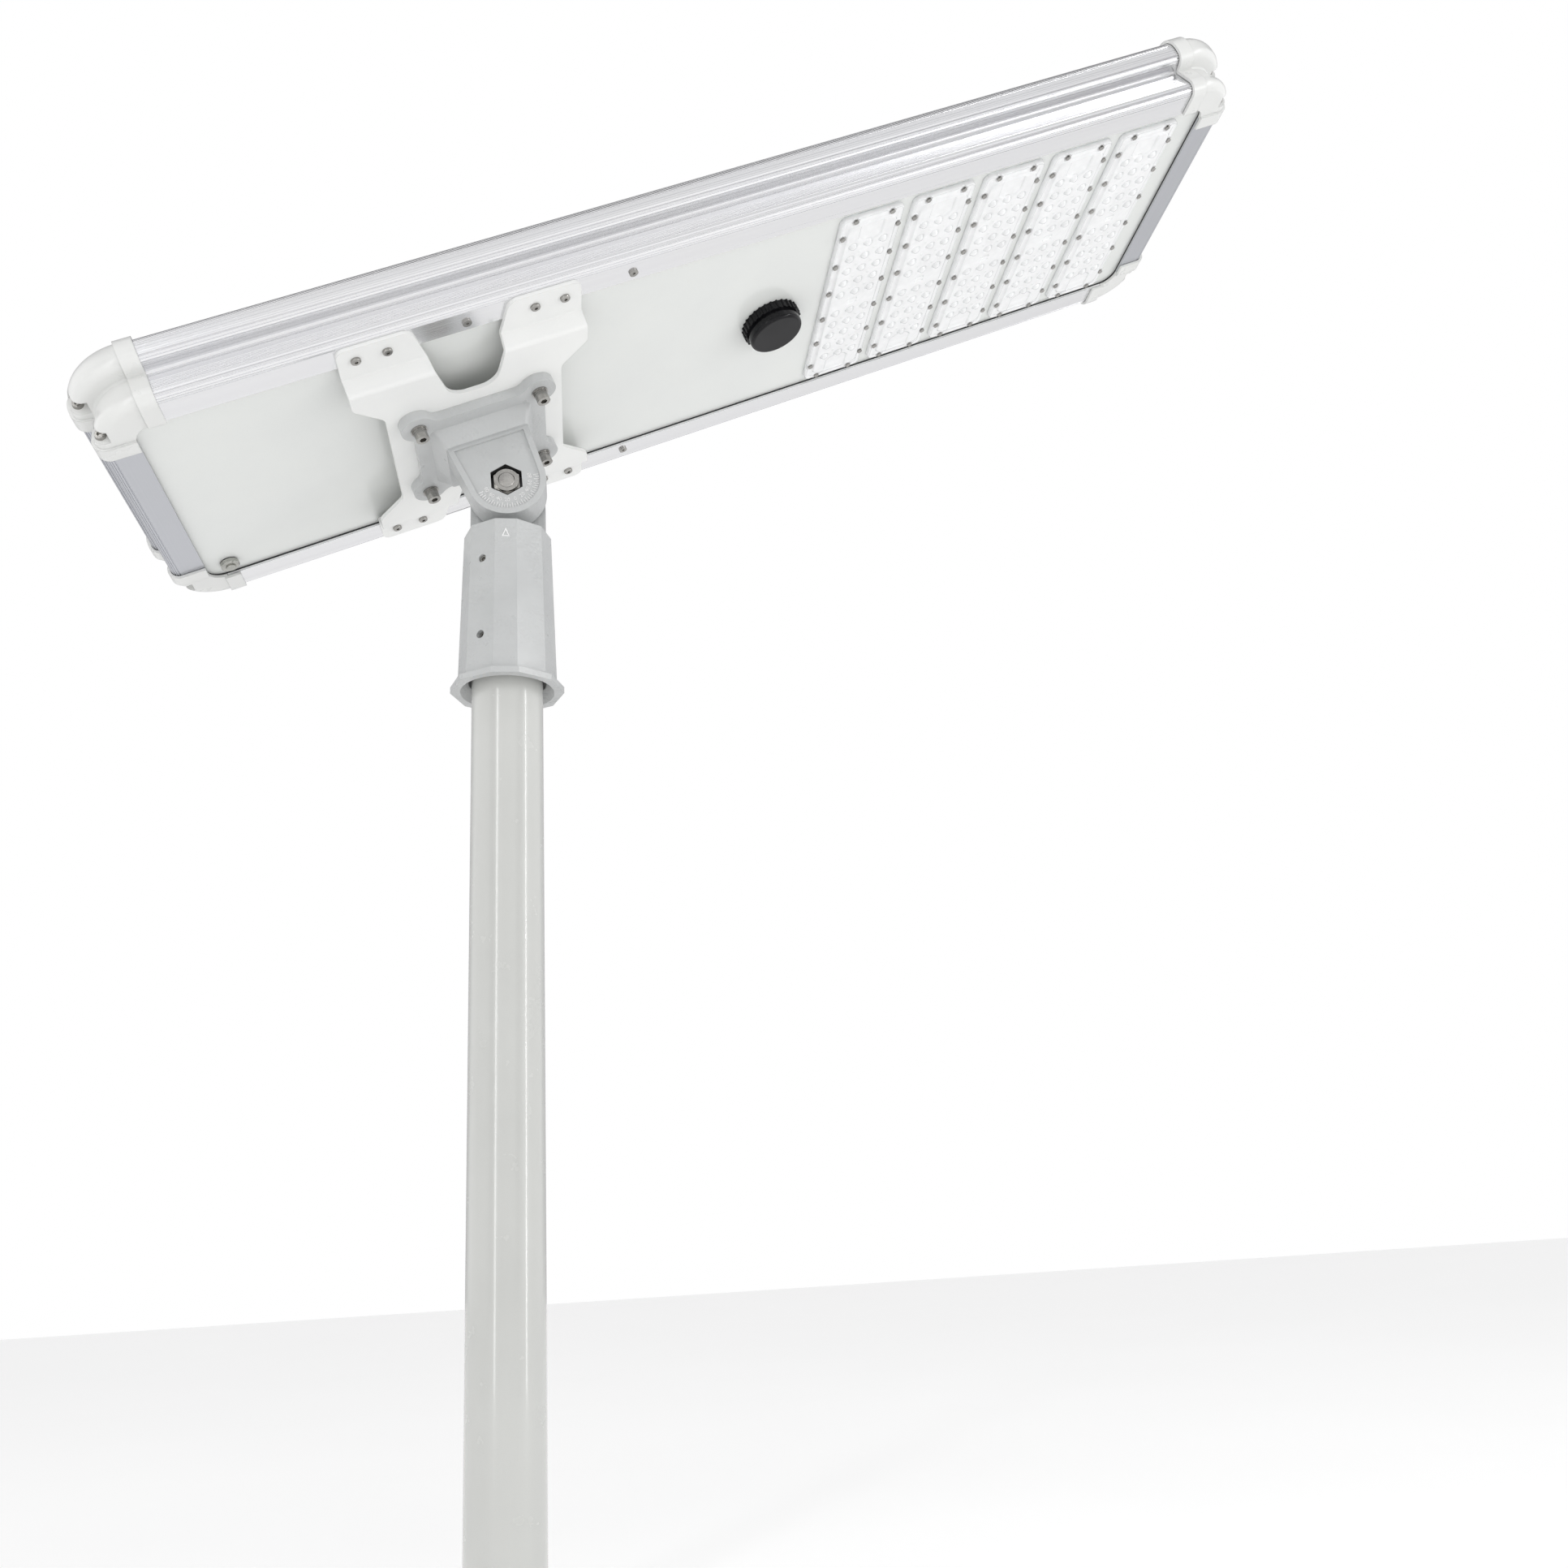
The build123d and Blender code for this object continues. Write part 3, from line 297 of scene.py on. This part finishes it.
def lens_cover(name):
    """Frosted-clear optic moulding: bright face, with painted shade greying the wall where it turns away from the view.
    """
    k = Mat(name)
    p = k.coords()
    lw = k.n("ShaderNodeLayerWeight")
    lw.inputs["Blend"].default_value = 0.35
    # painted shade: the colour greys where the surface turns away from the view
    facing_shade = k.span(lw.outputs["Facing"], 0.46, 0.92, 0.0, 1.0)
    haze = k.span(k.noise(p, 60.0, 3.0, 0.6), 0.3, 0.7, 0.90, 1.0)
    clear_col = k.mix(facing_shade, (0.99, 0.992, 0.995), (0.55, 0.57, 0.60))
    d = k.n("ShaderNodeBsdfDiffuse")
    k.put(d.inputs[0], k.mix(facing_shade, (0.98, 0.985, 0.99), (0.36, 0.38, 0.41)))
    tr = k.n("ShaderNodeBsdfTransparent")
    k.put(tr.inputs[0], clear_col)
    m = k.n("ShaderNodeMixShader")
    k.put(m.inputs[0], k.math("MULTIPLY", haze, 0.92))
    k.put(m.inputs[1], tr.outputs[0])
    k.put(m.inputs[2], d.outputs[0])
    gl = k.n("ShaderNodeBsdfGlossy")
    k.put(gl.inputs["Roughness"], k.span(k.noise(p, 90.0, 3.0, 0.6), 0.3, 0.7, 0.04, 0.09))
    fr = k.n("ShaderNodeFresnel")
    fr.inputs[0].default_value = 1.5
    m2 = k.n("ShaderNodeMixShader")
    k.put(m2.inputs[0], fr.outputs[0])
    k.put(m2.inputs[1], m.outputs[0])
    k.put(m2.inputs[2], gl.outputs[0])
    lp = k.n("ShaderNodeLightPath")
    thru = k.n("ShaderNodeBsdfTransparent")
    thru.inputs[0].default_value = (0.96, 0.96, 0.96, 1.0)
    m3 = k.n("ShaderNodeMixShader")
    k.put(m3.inputs[0], lp.outputs["Is Shadow Ray"])
    k.put(m3.inputs[1], m2.outputs[0])
    k.put(m3.inputs[2], thru.outputs[0])
    return k.end(m3.outputs[0])


def cover_glass(name):
    """Thin low-iron glass: what lies under shows through, the face reflects."""
    k = Mat(name)
    p = k.coords()
    tr = k.n("ShaderNodeBsdfTransparent")
    tr.inputs[0].default_value = (0.97, 0.99, 0.98, 1.0)
    gl = k.n("ShaderNodeBsdfGlossy")
    k.put(gl.inputs["Roughness"], k.span(k.noise(p, 40.0, 3.0), 0.3, 0.7, 0.03, 0.07))
    fr = k.n("ShaderNodeFresnel")
    fr.inputs[0].default_value = 1.5
    nb = k.bump(k.noise(p, 700.0, 2.0), 0.05, 0.05)
    k.put(fr.inputs[1], nb)
    k.put(gl.inputs["Normal"], nb)
    # only the outer side of each face reflects, so what lies under shows at every angle
    geo = k.n("ShaderNodeNewGeometry")
    outer = k.math("MULTIPLY", fr.outputs[0], k.math("SUBTRACT", 1.0, geo.outputs["Backfacing"]))
    m = k.n("ShaderNodeMixShader")
    k.put(m.inputs[0], outer)
    k.put(m.inputs[1], tr.outputs[0])
    k.put(m.inputs[2], gl.outputs[0])
    return k.end(m.outputs[0])


def cell_black(name):
    """Monocrystalline cell: near black with hair-thin silver fingers across the busbars."""
    k = Mat(name)
    h = k.head_coords()
    x, y, z = k.sep(h)
    wave = k.math("FRACT", k.math("MULTIPLY", x, 1.0 / (1.8 * MM)))
    finger = k.span(wave, 0.93, 0.97, 0.0, 1.0)
    base = k.mix(k.span(k.noise(h, 25.0, 3.0), 0.35, 0.65, 0.0, 1.0), (0.004, 0.005, 0.008), (0.007, 0.009, 0.014))
    col = k.mix(k.math("MULTIPLY", finger, 0.10), base, (0.35, 0.37, 0.42))
    n = k.bump(k.noise(h, 1500.0, 2.0), 0.1, 0.03)
    return k.end(k.bsdf(col, 0.32, 0.0, n, 0.2))


M = {
    "pole_paint": paint("pole_paint", (0.565, 0.57, 0.55), (0.54, 0.545, 0.525), 0.24, 9.0, 0.32, 0.5, 0.6, 0.0, 0.07),
    "cast_paint": hammered("cast_paint", (0.53, 0.54, 0.54), (0.485, 0.495, 0.495)),
    "bracket_paint": paint("bracket_paint", (0.84, 0.845, 0.83), (0.81, 0.815, 0.805), 0.42, 2.2, 0.10, 0.7, 0.0, 0.12),
    "cap_paint": paint("cap_paint", (0.755, 0.76, 0.745), (0.73, 0.735, 0.725), 0.30, 3.0, 0.10, 1.2, 0.18, 0.06),
    "rail_anodised": anodised("rail_anodised"),
    "pan_paint": paint("pan_paint", (0.755, 0.77, 0.75), (0.735, 0.75, 0.735), 0.20, 6.0, 0.10, 0.3, 0.35, 0.05, 0.05),
    "stainless": steel("stainless", (0.44, 0.43, 0.41), 0.17),
    "gasket_rubber": rubber("gasket_rubber", (0.018, 0.018, 0.02)),
    "panel_glass": cover_glass("panel_glass"),
    "solar_cell": cell_black("solar_cell"),
    "backsheet_film": plastic("backsheet_film", (0.84, 0.85, 0.86), 0.45, 0.05),
    "black_plastic": plastic("black_plastic", (0.004, 0.004, 0.005), 0.14, 0.02, 0.5, 0.0, 0.22),
    "lens_optic": lens_cover("lens_optic"),
    "led_board": plastic("led_board", (0.93, 0.935, 0.935), 0.35, 0.08, 0.2),
    "switch_metal": steel("switch_metal", (0.50, 0.50, 0.47), 0.22),
    "case_aluminium": steel("case_aluminium", (0.74, 0.75, 0.77), 0.38),
    "cell_wrap": plastic("cell_wrap", (0.03, 0.12, 0.30), 0.35),
    "cable_jacket": rubber("cable_jacket", (0.02, 0.02, 0.022), 0.5),
    "silicone": rubber("silicone", (0.62, 0.64, 0.65), 0.5),
}

for name, o in nodes.items():
    slot_name = o.material_slots[0].material.name.split(".")[0]
    o.material_slots[0].material = M[slot_name]
nodes["lens_gaskets"].material_slots[0].material = M["silicone"]
# painted shade: the end rails use a darker copy of the rail anodising; the die lines running across and the rougher
# finish are their own
END_RAIL_SHADED = anodised("end_rail_anodised_shaded", (0.53, 0.54, 0.57), (0.56, 0.57, 0.595), (0.57, 0.58, 0.62), (0.28, 0.31), True)
for name in ("end_rail_rear", "end_rail_front"):
    nodes[name].material_slots[0].material = END_RAIL_SHADED


# ------------------------------------------------------------------ mesh helpers
def piece(name, bm, matrix, body, mat, smooth=True, auto=35.0):
    me = bpy.data.meshes.new(name)
    bm.normal_update()
    bm.to_mesh(me)
    bm.free()
    me.materials.append(mat)
    if smooth:
        me.polygons.foreach_set("use_smooth", [True] * len(me.polygons))
        me.set_sharp_from_angle(angle=math.radians(auto))
    o = bpy.data.objects.new(name, me)
    scene.collection.objects.link(o)
    o.matrix_world = matrix
    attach(o, body)
    return o


def tile(bm, pts, low, high):
    """Flat prism from a closed outline, in millimetres."""
    a = [bm.verts.new((x * MM, y * MM, low * MM)) for x, y in pts]
    b = [bm.verts.new((x * MM, y * MM, high * MM)) for x, y in pts]
    n = len(pts)
    bm.faces.new(list(reversed(a)))
    bm.faces.new(b)
    for i in range(n):
        j = (i + 1) % n
        bm.faces.new((a[i], a[j], b[j], b[i]))


# ------------------------------------------------------------------ solar cells
COLS = [(-157.0, 0.0), (0.0, 157.0)]
LINES = [508.0 - 83.6 * i for i in range(13)]
DIAMOND = 10.5
bm = bmesh.new()
edges_u = [569.0] + LINES + [-569.0]
for r in range(len(edges_u) - 1):
    top, low = edges_u[r], edges_u[r + 1]
    dia_top = 1 <= r and (r - 1) % 2 == 0
    dia_low = r < len(LINES) and r % 2 == 0
    t = top - (0.65 if r > 0 else 0.0)
    l = low + (0.65 if r < len(LINES) else 0.0)
    for wa, wb in COLS:
        ct = DIAMOND if dia_top else 0.0
        cl = DIAMOND if dia_low else 0.0
        cta = ctb = ct
        cla = clb = cl
        if r == 0:
            cta, ctb = (38.0, 0.0) if wa < -1 else (0.0, 38.0)
        if r == len(edges_u) - 2:
            cla, clb = (38.0, 0.0) if wa < -1 else (0.0, 38.0)
        pts = []
        for (x, y), c, order in (
            ((t, wa), cta, 0), ((t, wb), ctb, 1), ((l, wb), clb, 2), ((l, wa), cla, 3),
        ):
            sx = -1 if x == t else 1
            sy = 1 if y == wa else -1
            if c <= 0.0:
                pts.append((x, y))
            elif order in (0, 2):
                pts += [(x + sx * c, y), (x, y + sy * c)]
            else:
                pts += [(x, y + sy * c), (x + sx * c, y)]
        tile(bm, list(reversed(pts)), 54.22, 54.48)
cell_piece = piece("solar_cell_array", bm, HEAD, "head", M["solar_cell"], False)
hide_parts("solar_cells")

bm = bmesh.new()
for s in (-1, 1):
    for i in range(5):
        w = s * (16.1 + 32.2 * i)
        end = 569.0 - max(0.0, abs(w) - (157.0 - 38.0))
        tile(bm, [(-end + 2, w - 0.65), (end - 2, w - 0.65), (end - 2, w + 0.65), (-end + 2, w + 0.65)], 54.48, 54.56)
k = Mat("busbar_tin")
p = k.coords()
col = k.mix(k.span(k.noise(p, 300.0, 3.0), 0.35, 0.65, 0.0, 1.0), (0.80, 0.81, 0.83), (0.90, 0.90, 0.91))
busbar_mat = k.end(k.bsdf(col, 0.4, 0.2, k.bump(k.noise(p, 1500.0), 0.1, 0.03)))
piece("solar_busbars", bm, HEAD, "head", busbar_mat, False)

# ------------------------------------------------------------------ LED lens modules
LED_DU = (-17.5, 0.0, 17.5)
LED_W = [s * (15.65 + 19.1 * i) for s in (-1, 1) for i in range(5)]
HX, HY, HR = 35.5, 132.5, 7.0
WX, WY, WR = 28.5, 122.5, 9.0
SCREWS = [(s * 31.7, -107.0 + i * 42.8) for i in range(6) for s in (-1, 1)]
SCREWS += [(a * 20.5, b * 128.5) for a in (-1, 1) for b in (-1, 1)]


def sdf(x, y, hx, hy, r):
    """Distance inside a rounded rectangle, positive inside."""
    ax, ay = np.abs(x) - (hx - r), np.abs(y) - (hy - r)
    outside = np.hypot(np.maximum(ax, 0), np.maximum(ay, 0))
    return r - outside - np.minimum(np.maximum(ax, ay), 0)


def step(x, a, b):
    t = np.clip((x - a) / (b - a), 0, 1)
    return t * t * (3 - 2 * t)


def lens_top(x, y):
    d = sdf(x, y, HX, HY, HR)
    h = np.full_like(x, 5.0)
    h -= 1.1 - np.sqrt(np.maximum(1.1 ** 2 - np.maximum(1.1 - d, 0) ** 2, 0))
    h += 0.6 * step(d, 0.5, 1.0) * (1 - step(d, 1.5, 2.1))          # lip round the rim
    h += 0.5 * step(d, 5.3, 6.2)
    dw = sdf(x, y, WX, WY, WR)
    h += 2.5 * step(dw, -0.3, 1.5)
    # screw seats, each with a slot out to the rim
    for sx, sy in SCREWS:
        rho = np.hypot(x - sx, y - sy)
        side = abs(sx) > 30
        along = (y - sy) if side else (x - sx)
        out = (x * np.sign(sx) - abs(sx)) if side else (y * np.sign(sy) - abs(sy))
        slot_ = (1 - step(np.abs(along), 0.7, 1.3)) * step(out, -0.5, 0.2)
        seat = 1 - step(rho, 3.3, 3.9)
        wall = step(rho, 3.3, 4.2) * (1 - step(rho, 4.4, 5.4))
        h = h * (1 - slot_) + np.minimum(h, 2.6) * slot_
        h = h + 0.9 * wall * (1 - slot_) * (1 - step(dw, -1.0, 0.5))
        h = h * (1 - seat) + 4.9 * seat
    # end pockets
    for s in (-1, 1):
        yy = s * y
        px = 13.5 - np.abs(x)
        pr = 16.0 - np.hypot(x, yy - 111.0)
        inside = np.minimum(np.minimum(px, np.maximum(pr, yy - 111.0)), 124.0 - yy)
        h -= 1.9 * step(inside, -0.4, 1.2) * step(dw, 0.8, 2.0)
    # centre boss
    for s in (-1, 1):
        e = np.hypot(np.maximum(np.abs(x) - 4.0, 0), y - s * 2.6)
        h -= 1.6 * (1 - step(e, 0.7, 1.4))
    # domes over the LEDs and pips between them
    for lx in LED_DU:
        for ly in LED_W:
            rho = np.hypot(x - lx, y - ly)
            h += 2.6 * np.sqrt(np.maximum(1 - (rho / 3.7) ** 2, 0))
            h -= 1.0 * (1 - step(np.abs(rho - 4.6), 0.2, 0.9))
    for lx in (-8.75, 8.75):
        for ly in [s * (25.2 + 19.1 * i) for s in (-1, 1) for i in range(4)]:
            rho = np.hypot(x - lx, y - ly)
            h += 0.7 * np.sqrt(np.maximum(1 - (rho / 1.2) ** 2, 0))
    return h


def lens_under(x, y):
    """Underside of the cover, as height outwards."""
    cav = step(sdf(x, y, 28.2, 123.6, 4.0), -0.2, 1.2)
    h = 1.0 + 2.6 * cav
    for lx in LED_DU:
        for ly in LED_W:
            rho = np.hypot(x - lx, y - ly)
            h += 2.6 * np.sqrt(np.maximum(1 - (rho / 2.6) ** 2, 0))
    return h


def axis_lines(half, fine, keep):
    pts = set(np.round(np.arange(-half, half + 0.01, fine), 3)) | {-half, half}
    for c in keep:
        pts |= {round(c, 3), round(-c, 3)}
    pts = sorted(pts)
    out = [pts[0]]
    for v in pts[1:]:
        if v - out[-1] > 0.3 or v == pts[-1]:
            out.append(v)
    return np.array(out)


def lens_mesh(fine):
    xs = axis_lines(HX, fine, (HX - 0.25, HX - 0.6, HX - 1.1, 28.2, 27.6, 27.0))
    ys = axis_lines(HY, fine, (HY - 0.25, HY - 0.6, HY - 1.1, 122.2, 121.6, 121.0))
    X, Y = np.meshgrid(xs, ys, indexing="ij")
    a, b = np.abs(X) - (HX - HR), np.abs(Y) - (HY - HR)
    corner = (a > 0) & (b > 0)
    e = np.where(corner, np.hypot(a, b), 1.0)
    s = np.where(corner, np.maximum(a, b), 1.0)
    X = np.where(corner, np.sign(X) * (HX - HR + a * s / e), X)
    Y = np.where(corner, np.sign(Y) * (HY - HR + b * s / e), Y)
    top = lens_top(X, Y)
    under = lens_under(X, Y)
    top = np.maximum(top, under + 0.6)
    nx, ny = X.shape
    bm = bmesh.new()
    T = [[bm.verts.new((X[i, j] * MM, Y[i, j] * MM, -top[i, j] * MM)) for j in range(ny)] for i in range(nx)]
    B = [[bm.verts.new((X[i, j] * MM, Y[i, j] * MM, -under[i, j] * MM)) for j in range(ny)] for i in range(nx)]
    flat = []
    for i in range(nx - 1):
        for j in range(ny - 1):
            bm.faces.new((T[i][j], T[i][j + 1], T[i + 1][j + 1], T[i + 1][j]))
            f = bm.faces.new((B[i][j], B[i + 1][j], B[i + 1][j + 1], B[i][j + 1]))
            flat.append(f)
    rim = [(i, 0) for i in range(nx)] + [(nx - 1, j) for j in range(1, ny)]
    rim += [(i, ny - 1) for i in range(nx - 2, -1, -1)] + [(0, j) for j in range(ny - 2, 0, -1)]
    for (i, j), (k_, l_) in zip(rim, rim[1:] + rim[:1]):
        bm.faces.new((T[i][j], T[k_][l_], B[k_][l_], B[i][j]))
    bmesh.ops.recalc_face_normals(bm, faces=bm.faces)
    edges = [e for e in {e for f in flat for e in f.edges} if not e.is_boundary]
    bmesh.ops.dissolve_limit(bm, angle_limit=math.radians(1.0), verts=[], edges=edges)
    bmesh.ops.triangulate(bm, faces=[f for f in bm.faces if len(f.verts) > 4])
    return bm


lens_bm = lens_mesh(0.8)
lens_me = None
for i in range(5):
    uc = 165.5 + 82.5 * i
    if lens_me is None:
        o = piece(f"lens_module_{i + 1}", lens_bm, at(uc, 0, 0), "head", M["lens_optic"], True, 50.0)
        lens_me = o.data
    else:
        o = bpy.data.objects.new(f"lens_module_{i + 1}", lens_me.copy())
        scene.collection.objects.link(o)
        o.matrix_world = at(uc, 0, 0)
        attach(o, "head")
    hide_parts(f"led_lens_{i + 1}")

# LED emitters on the boards
k = Mat("led_phosphor")
p = k.coords()
phosphor = k.end(k.bsdf(k.mix(k.span(k.noise(p, 400.0), 0.3, 0.7, 0.0, 1.0), (0.80, 0.66, 0.30), (0.86, 0.74, 0.40)), 0.35, 0.0, None, 0.5))
for i in range(5):
    uc = 165.5 + 82.5 * i
    bm = bmesh.new()
    for lx in LED_DU:
        for ly in LED_W:
            rings = []
            for r, h in ((1.45, 2.8), (1.3, 3.05), (0.9, 3.3), (0.4, 3.42)):
                rings.append([bm.verts.new(((lx + r * math.cos(a)) * MM, (ly + r * math.sin(a)) * MM, -h * MM)) for a in [math.tau * q / 12 for q in range(12)]])
            for ra, rb in zip(rings, rings[1:]):
                for q in range(12):
                    bm.faces.new((ra[q], rb[q], rb[(q + 1) % 12], ra[(q + 1) % 12]))
            bm.faces.new(rings[-1])
            bm.faces.new(list(reversed(rings[0])))
    bmesh.ops.recalc_face_normals(bm, faces=bm.faces)
    piece(f"led_emitters_{i + 1}", bm, at(uc, 0, 0), "head", phosphor)

# ------------------------------------------------------------------ protractor
# Raised ticks and numbers in the recess of the near ear: 0 on the head's own
# axis, counted both ways.
FACE_W = -30.8
bm = bmesh.new()


def on_face(r, ang, dr=0.0):
    """Point on the ear's face: ang from straight under the hinge in head axes."""
    a = math.radians(ang)
    return (HINGE_U * 1000 - r * math.sin(a), HINGE_M * 1000 - r * math.cos(a))


def ridge(bm, a, b, half, low, high):
    """Small raised bar on the ear's face from a to b, with sloped sides."""
    (x0, y0), (x1, y1) = a, b
    dx, dy = x1 - x0, y1 - y0
    n = math.hypot(dx, dy)
    nx, ny = -dy / n, dx / n
    base = [(x0 + nx * half, y0 + ny * half), (x1 + nx * half, y1 + ny * half), (x1 - nx * half, y1 - ny * half), (x0 - nx * half, y0 - ny * half)]
    h2 = half * 0.55
    top = [(x0 + nx * h2, y0 + ny * h2), (x1 + nx * h2, y1 + ny * h2), (x1 - nx * h2, y1 - ny * h2), (x0 - nx * h2, y0 - ny * h2)]
    va = [bm.verts.new((x * MM, low * MM, y * MM)) for x, y in base]
    vb = [bm.verts.new((x * MM, high * MM, y * MM)) for x, y in top]
    bm.faces.new(va)
    bm.faces.new(list(reversed(vb)))
    for i in range(4):
        j = (i + 1) % 4
        bm.faces.new((va[i], vb[i], vb[j], va[j]))


for d in range(-80, 81, 5):
    long_ = d % 10 == 0
    ridge(bm, on_face(31.2, d), on_face(26.0 if long_ else 27.8, d), 0.52, FACE_W + 0.1, FACE_W - 0.8)
for d in range(-80, 81, 20):
    cu = bpy.data.curves.new(f"num{d}", "FONT")
    cu.body = str(abs(d))
    cu.size = 5.4 * MM
    cu.extrude = 0.5 * MM
    cu.bevel_depth = 0.06 * MM
    cu.resolution_u = 3
    cu.align_x = "CENTER"
    cu.align_y = "CENTER"
    ob = bpy.data.objects.new(f"num{d}", cu)
    scene.collection.objects.link(ob)
    bpy.context.view_layer.update()
    me = bpy.data.meshes.new_from_object(ob.evaluated_get(bpy.context.evaluated_depsgraph_get()))
    x, y = on_face(22.4, d)
    a = math.radians(d)
    # text x runs along +u at the bottom of the dial, text up towards the hinge
    rot = Matrix(((math.cos(a), math.sin(a), 0, x * MM), (0, 0, -1, FACE_W * MM), (-math.sin(a), math.cos(a), 0, y * MM), (0, 0, 0, 1)))
    me.transform(rot)
    bm.from_mesh(me)
    bpy.data.objects.remove(ob)
    bpy.data.meshes.remove(me)
bmesh.ops.recalc_face_normals(bm, faces=bm.faces)
piece("protractor_marks", bm, HEAD, "head", hammered("cast_marks", (0.80, 0.80, 0.80), (0.74, 0.74, 0.74), 0.1), True, 30.0)

# ------------------------------------------------------------------ camera
cam_data = bpy.data.cameras.new("camera")
cam = bpy.data.objects.new("camera", cam_data)
scene.collection.objects.link(cam)
cam_data.sensor_width = 36.0
cam_data.sensor_height = 36.0
cam_data.sensor_fit = "HORIZONTAL"
cam_data.lens = 32.735
cam_data.clip_start, cam_data.clip_end = 0.02, 100.0
right = Vector((0.98940402, -0.1328703, -0.05852497))
down = Vector((-0.01323462, 0.31888133, -0.94770224))
fwd = Vector((0.144584, 0.93843496, 0.31374399))
cam.matrix_world = Matrix((
    (right.x, -down.x, -fwd.x, 0.06220),
    (right.y, -down.y, -fwd.y, -1.26425),
    (right.z, -down.z, -fwd.z, 0.27379),
    (0, 0, 0, 1),
))
scene.camera = cam

# ------------------------------------------------------------------ studio
bm = bmesh.new()
bmesh.ops.create_grid(bm, x_segments=8, y_segments=8, size=12.0)
me = bpy.data.meshes.new("floor")
bm.to_mesh(me)
bm.free()
floor = bpy.data.objects.new("floor", me)
scene.collection.objects.link(floor)
floor.location = (0, 0, -0.002)
k = Mat("floor_white")
p = k.coords()
col = k.mix(k.span(k.noise(p, 2.0, 3.0), 0.3, 0.7, 0.0, 1.0), (0.93, 0.93, 0.925), (0.95, 0.95, 0.945))
fb = k.bsdf(col, 0.8, 0.0, None, 0.0, 0.05, 0.1)
fb.inputs["Emission Color"].default_value = (1.0, 1.0, 0.995, 1.0)
fb.inputs["Emission Strength"].default_value = 0.40
me.materials.append(k.end(fb))

world = bpy.data.worlds.new("studio")
scene.world = world
world.use_nodes = True
wt = world.node_tree
wt.nodes.clear()


def wn(kind, **props):
    node = wt.nodes.new(kind)
    for a, b in props.items():
        setattr(node, a, b)
    return node


def wmath(op, a, b=None, clamp=False):
    node = wn("ShaderNodeMath", operation=op, use_clamp=clamp)
    for i, v in enumerate((a, b)):
        if v is None:
            continue
        if isinstance(v, (int, float)):
            node.inputs[i].default_value = v
        else:
            wt.links.new(v, node.inputs[i])
    return node.outputs[0]


tc = wn("ShaderNodeTexCoord")
sx = wn("ShaderNodeSeparateXYZ")
wt.links.new(tc.outputs["Generated"], sx.inputs[0])
X, Y, Z = sx.outputs
def wstep(v, lo, hi, a=0.0, b=1.0):
    node = wn("ShaderNodeMapRange", clamp=True, interpolation_type="SMOOTHSTEP")
    wt.links.new(v, node.inputs[0])
    for i, x in enumerate((lo, hi, a, b), 1):
        node.inputs[i].default_value = x
    return node.outputs[0]


AX = wmath("ABSOLUTE", X)
front = wstep(Y, -0.05, 0.25, 1.0, 0.0)
window = wmath("MULTIPLY", wmath("MULTIPLY", wstep(Z, -0.04, 0.06), wstep(Z, 0.90, 0.975, 1.0, 0.0)), wmath("MULTIPLY", wstep(AX, 0.42, 0.60, 1.0, 0.0), front))
sides = wmath("MULTIPLY", wstep(AX, 0.62, 0.86), wstep(Z, 0.65, 0.90, 1.0, 0.1))
rear = wmath("MULTIPLY", wstep(Y, 0.2, 0.6), wstep(Z, 0.55, 0.85, 1.0, 0.1))
level = wmath("ADD", wmath("MULTIPLY", window, 0.72), wmath("MAXIMUM", wmath("MULTIPLY", sides, 0.85), wmath("MULTIPLY", rear, 0.15)))
level = wmath("ADD", level, wstep(Z, 0.35, 0.80, 0.36, 0.09))
tint = wn("ShaderNodeMix", data_type="RGBA")
wt.links.new(wstep(level, 0.15, 0.8), tint.inputs[0])
tint.inputs[6].default_value = (0.95, 0.94, 1.0, 1)
tint.inputs[7].default_value = (1.0, 1.0, 1.0, 1)
bg_light = wn("ShaderNodeBackground")
wt.links.new(tint.outputs[2], bg_light.inputs[0])
wt.links.new(level, bg_light.inputs[1])
bg_plain = wn("ShaderNodeBackground")
bg_plain.inputs[0].default_value = (1.0, 1.0, 1.0, 1)
lp = wn("ShaderNodeLightPath")
mx = wn("ShaderNodeMixShader")
wt.links.new(lp.outputs["Is Camera Ray"], mx.inputs[0])
wt.links.new(bg_light.outputs[0], mx.inputs[1])
wt.links.new(bg_plain.outputs[0], mx.inputs[2])
wo = wn("ShaderNodeOutputWorld")
wt.links.new(mx.outputs[0], wo.inputs[0])


def area(name, place, target, size, power, color=(1, 1, 1), glossy=True):
    d = bpy.data.lights.new(name, "AREA")
    d.shape = "RECTANGLE"
    d.size, d.size_y = size
    d.energy = power
    d.color = color
    o = bpy.data.objects.new(name, d)
    scene.collection.objects.link(o)
    o.location = place
    o.rotation_euler = (Vector(target) - Vector(place)).to_track_quat("-Z", "Y").to_euler()
    o.visible_camera = False
    o.visible_glossy = glossy
    return o


area("strip_left", (-1.25, -2.3, 0.9), (0, 0, 0.7), (0.22, 2.6), 11)
area("strip_right", (2.3, -1.2, 0.9), (0, 0, 0.7), (0.14, 2.6), 12)
area("top_soft", (0.3, -0.6, 3.4), (0.2, 0, 1.1), (2.4, 2.4), 8, glossy=False)

scene.view_settings.view_transform = "Standard"

import json
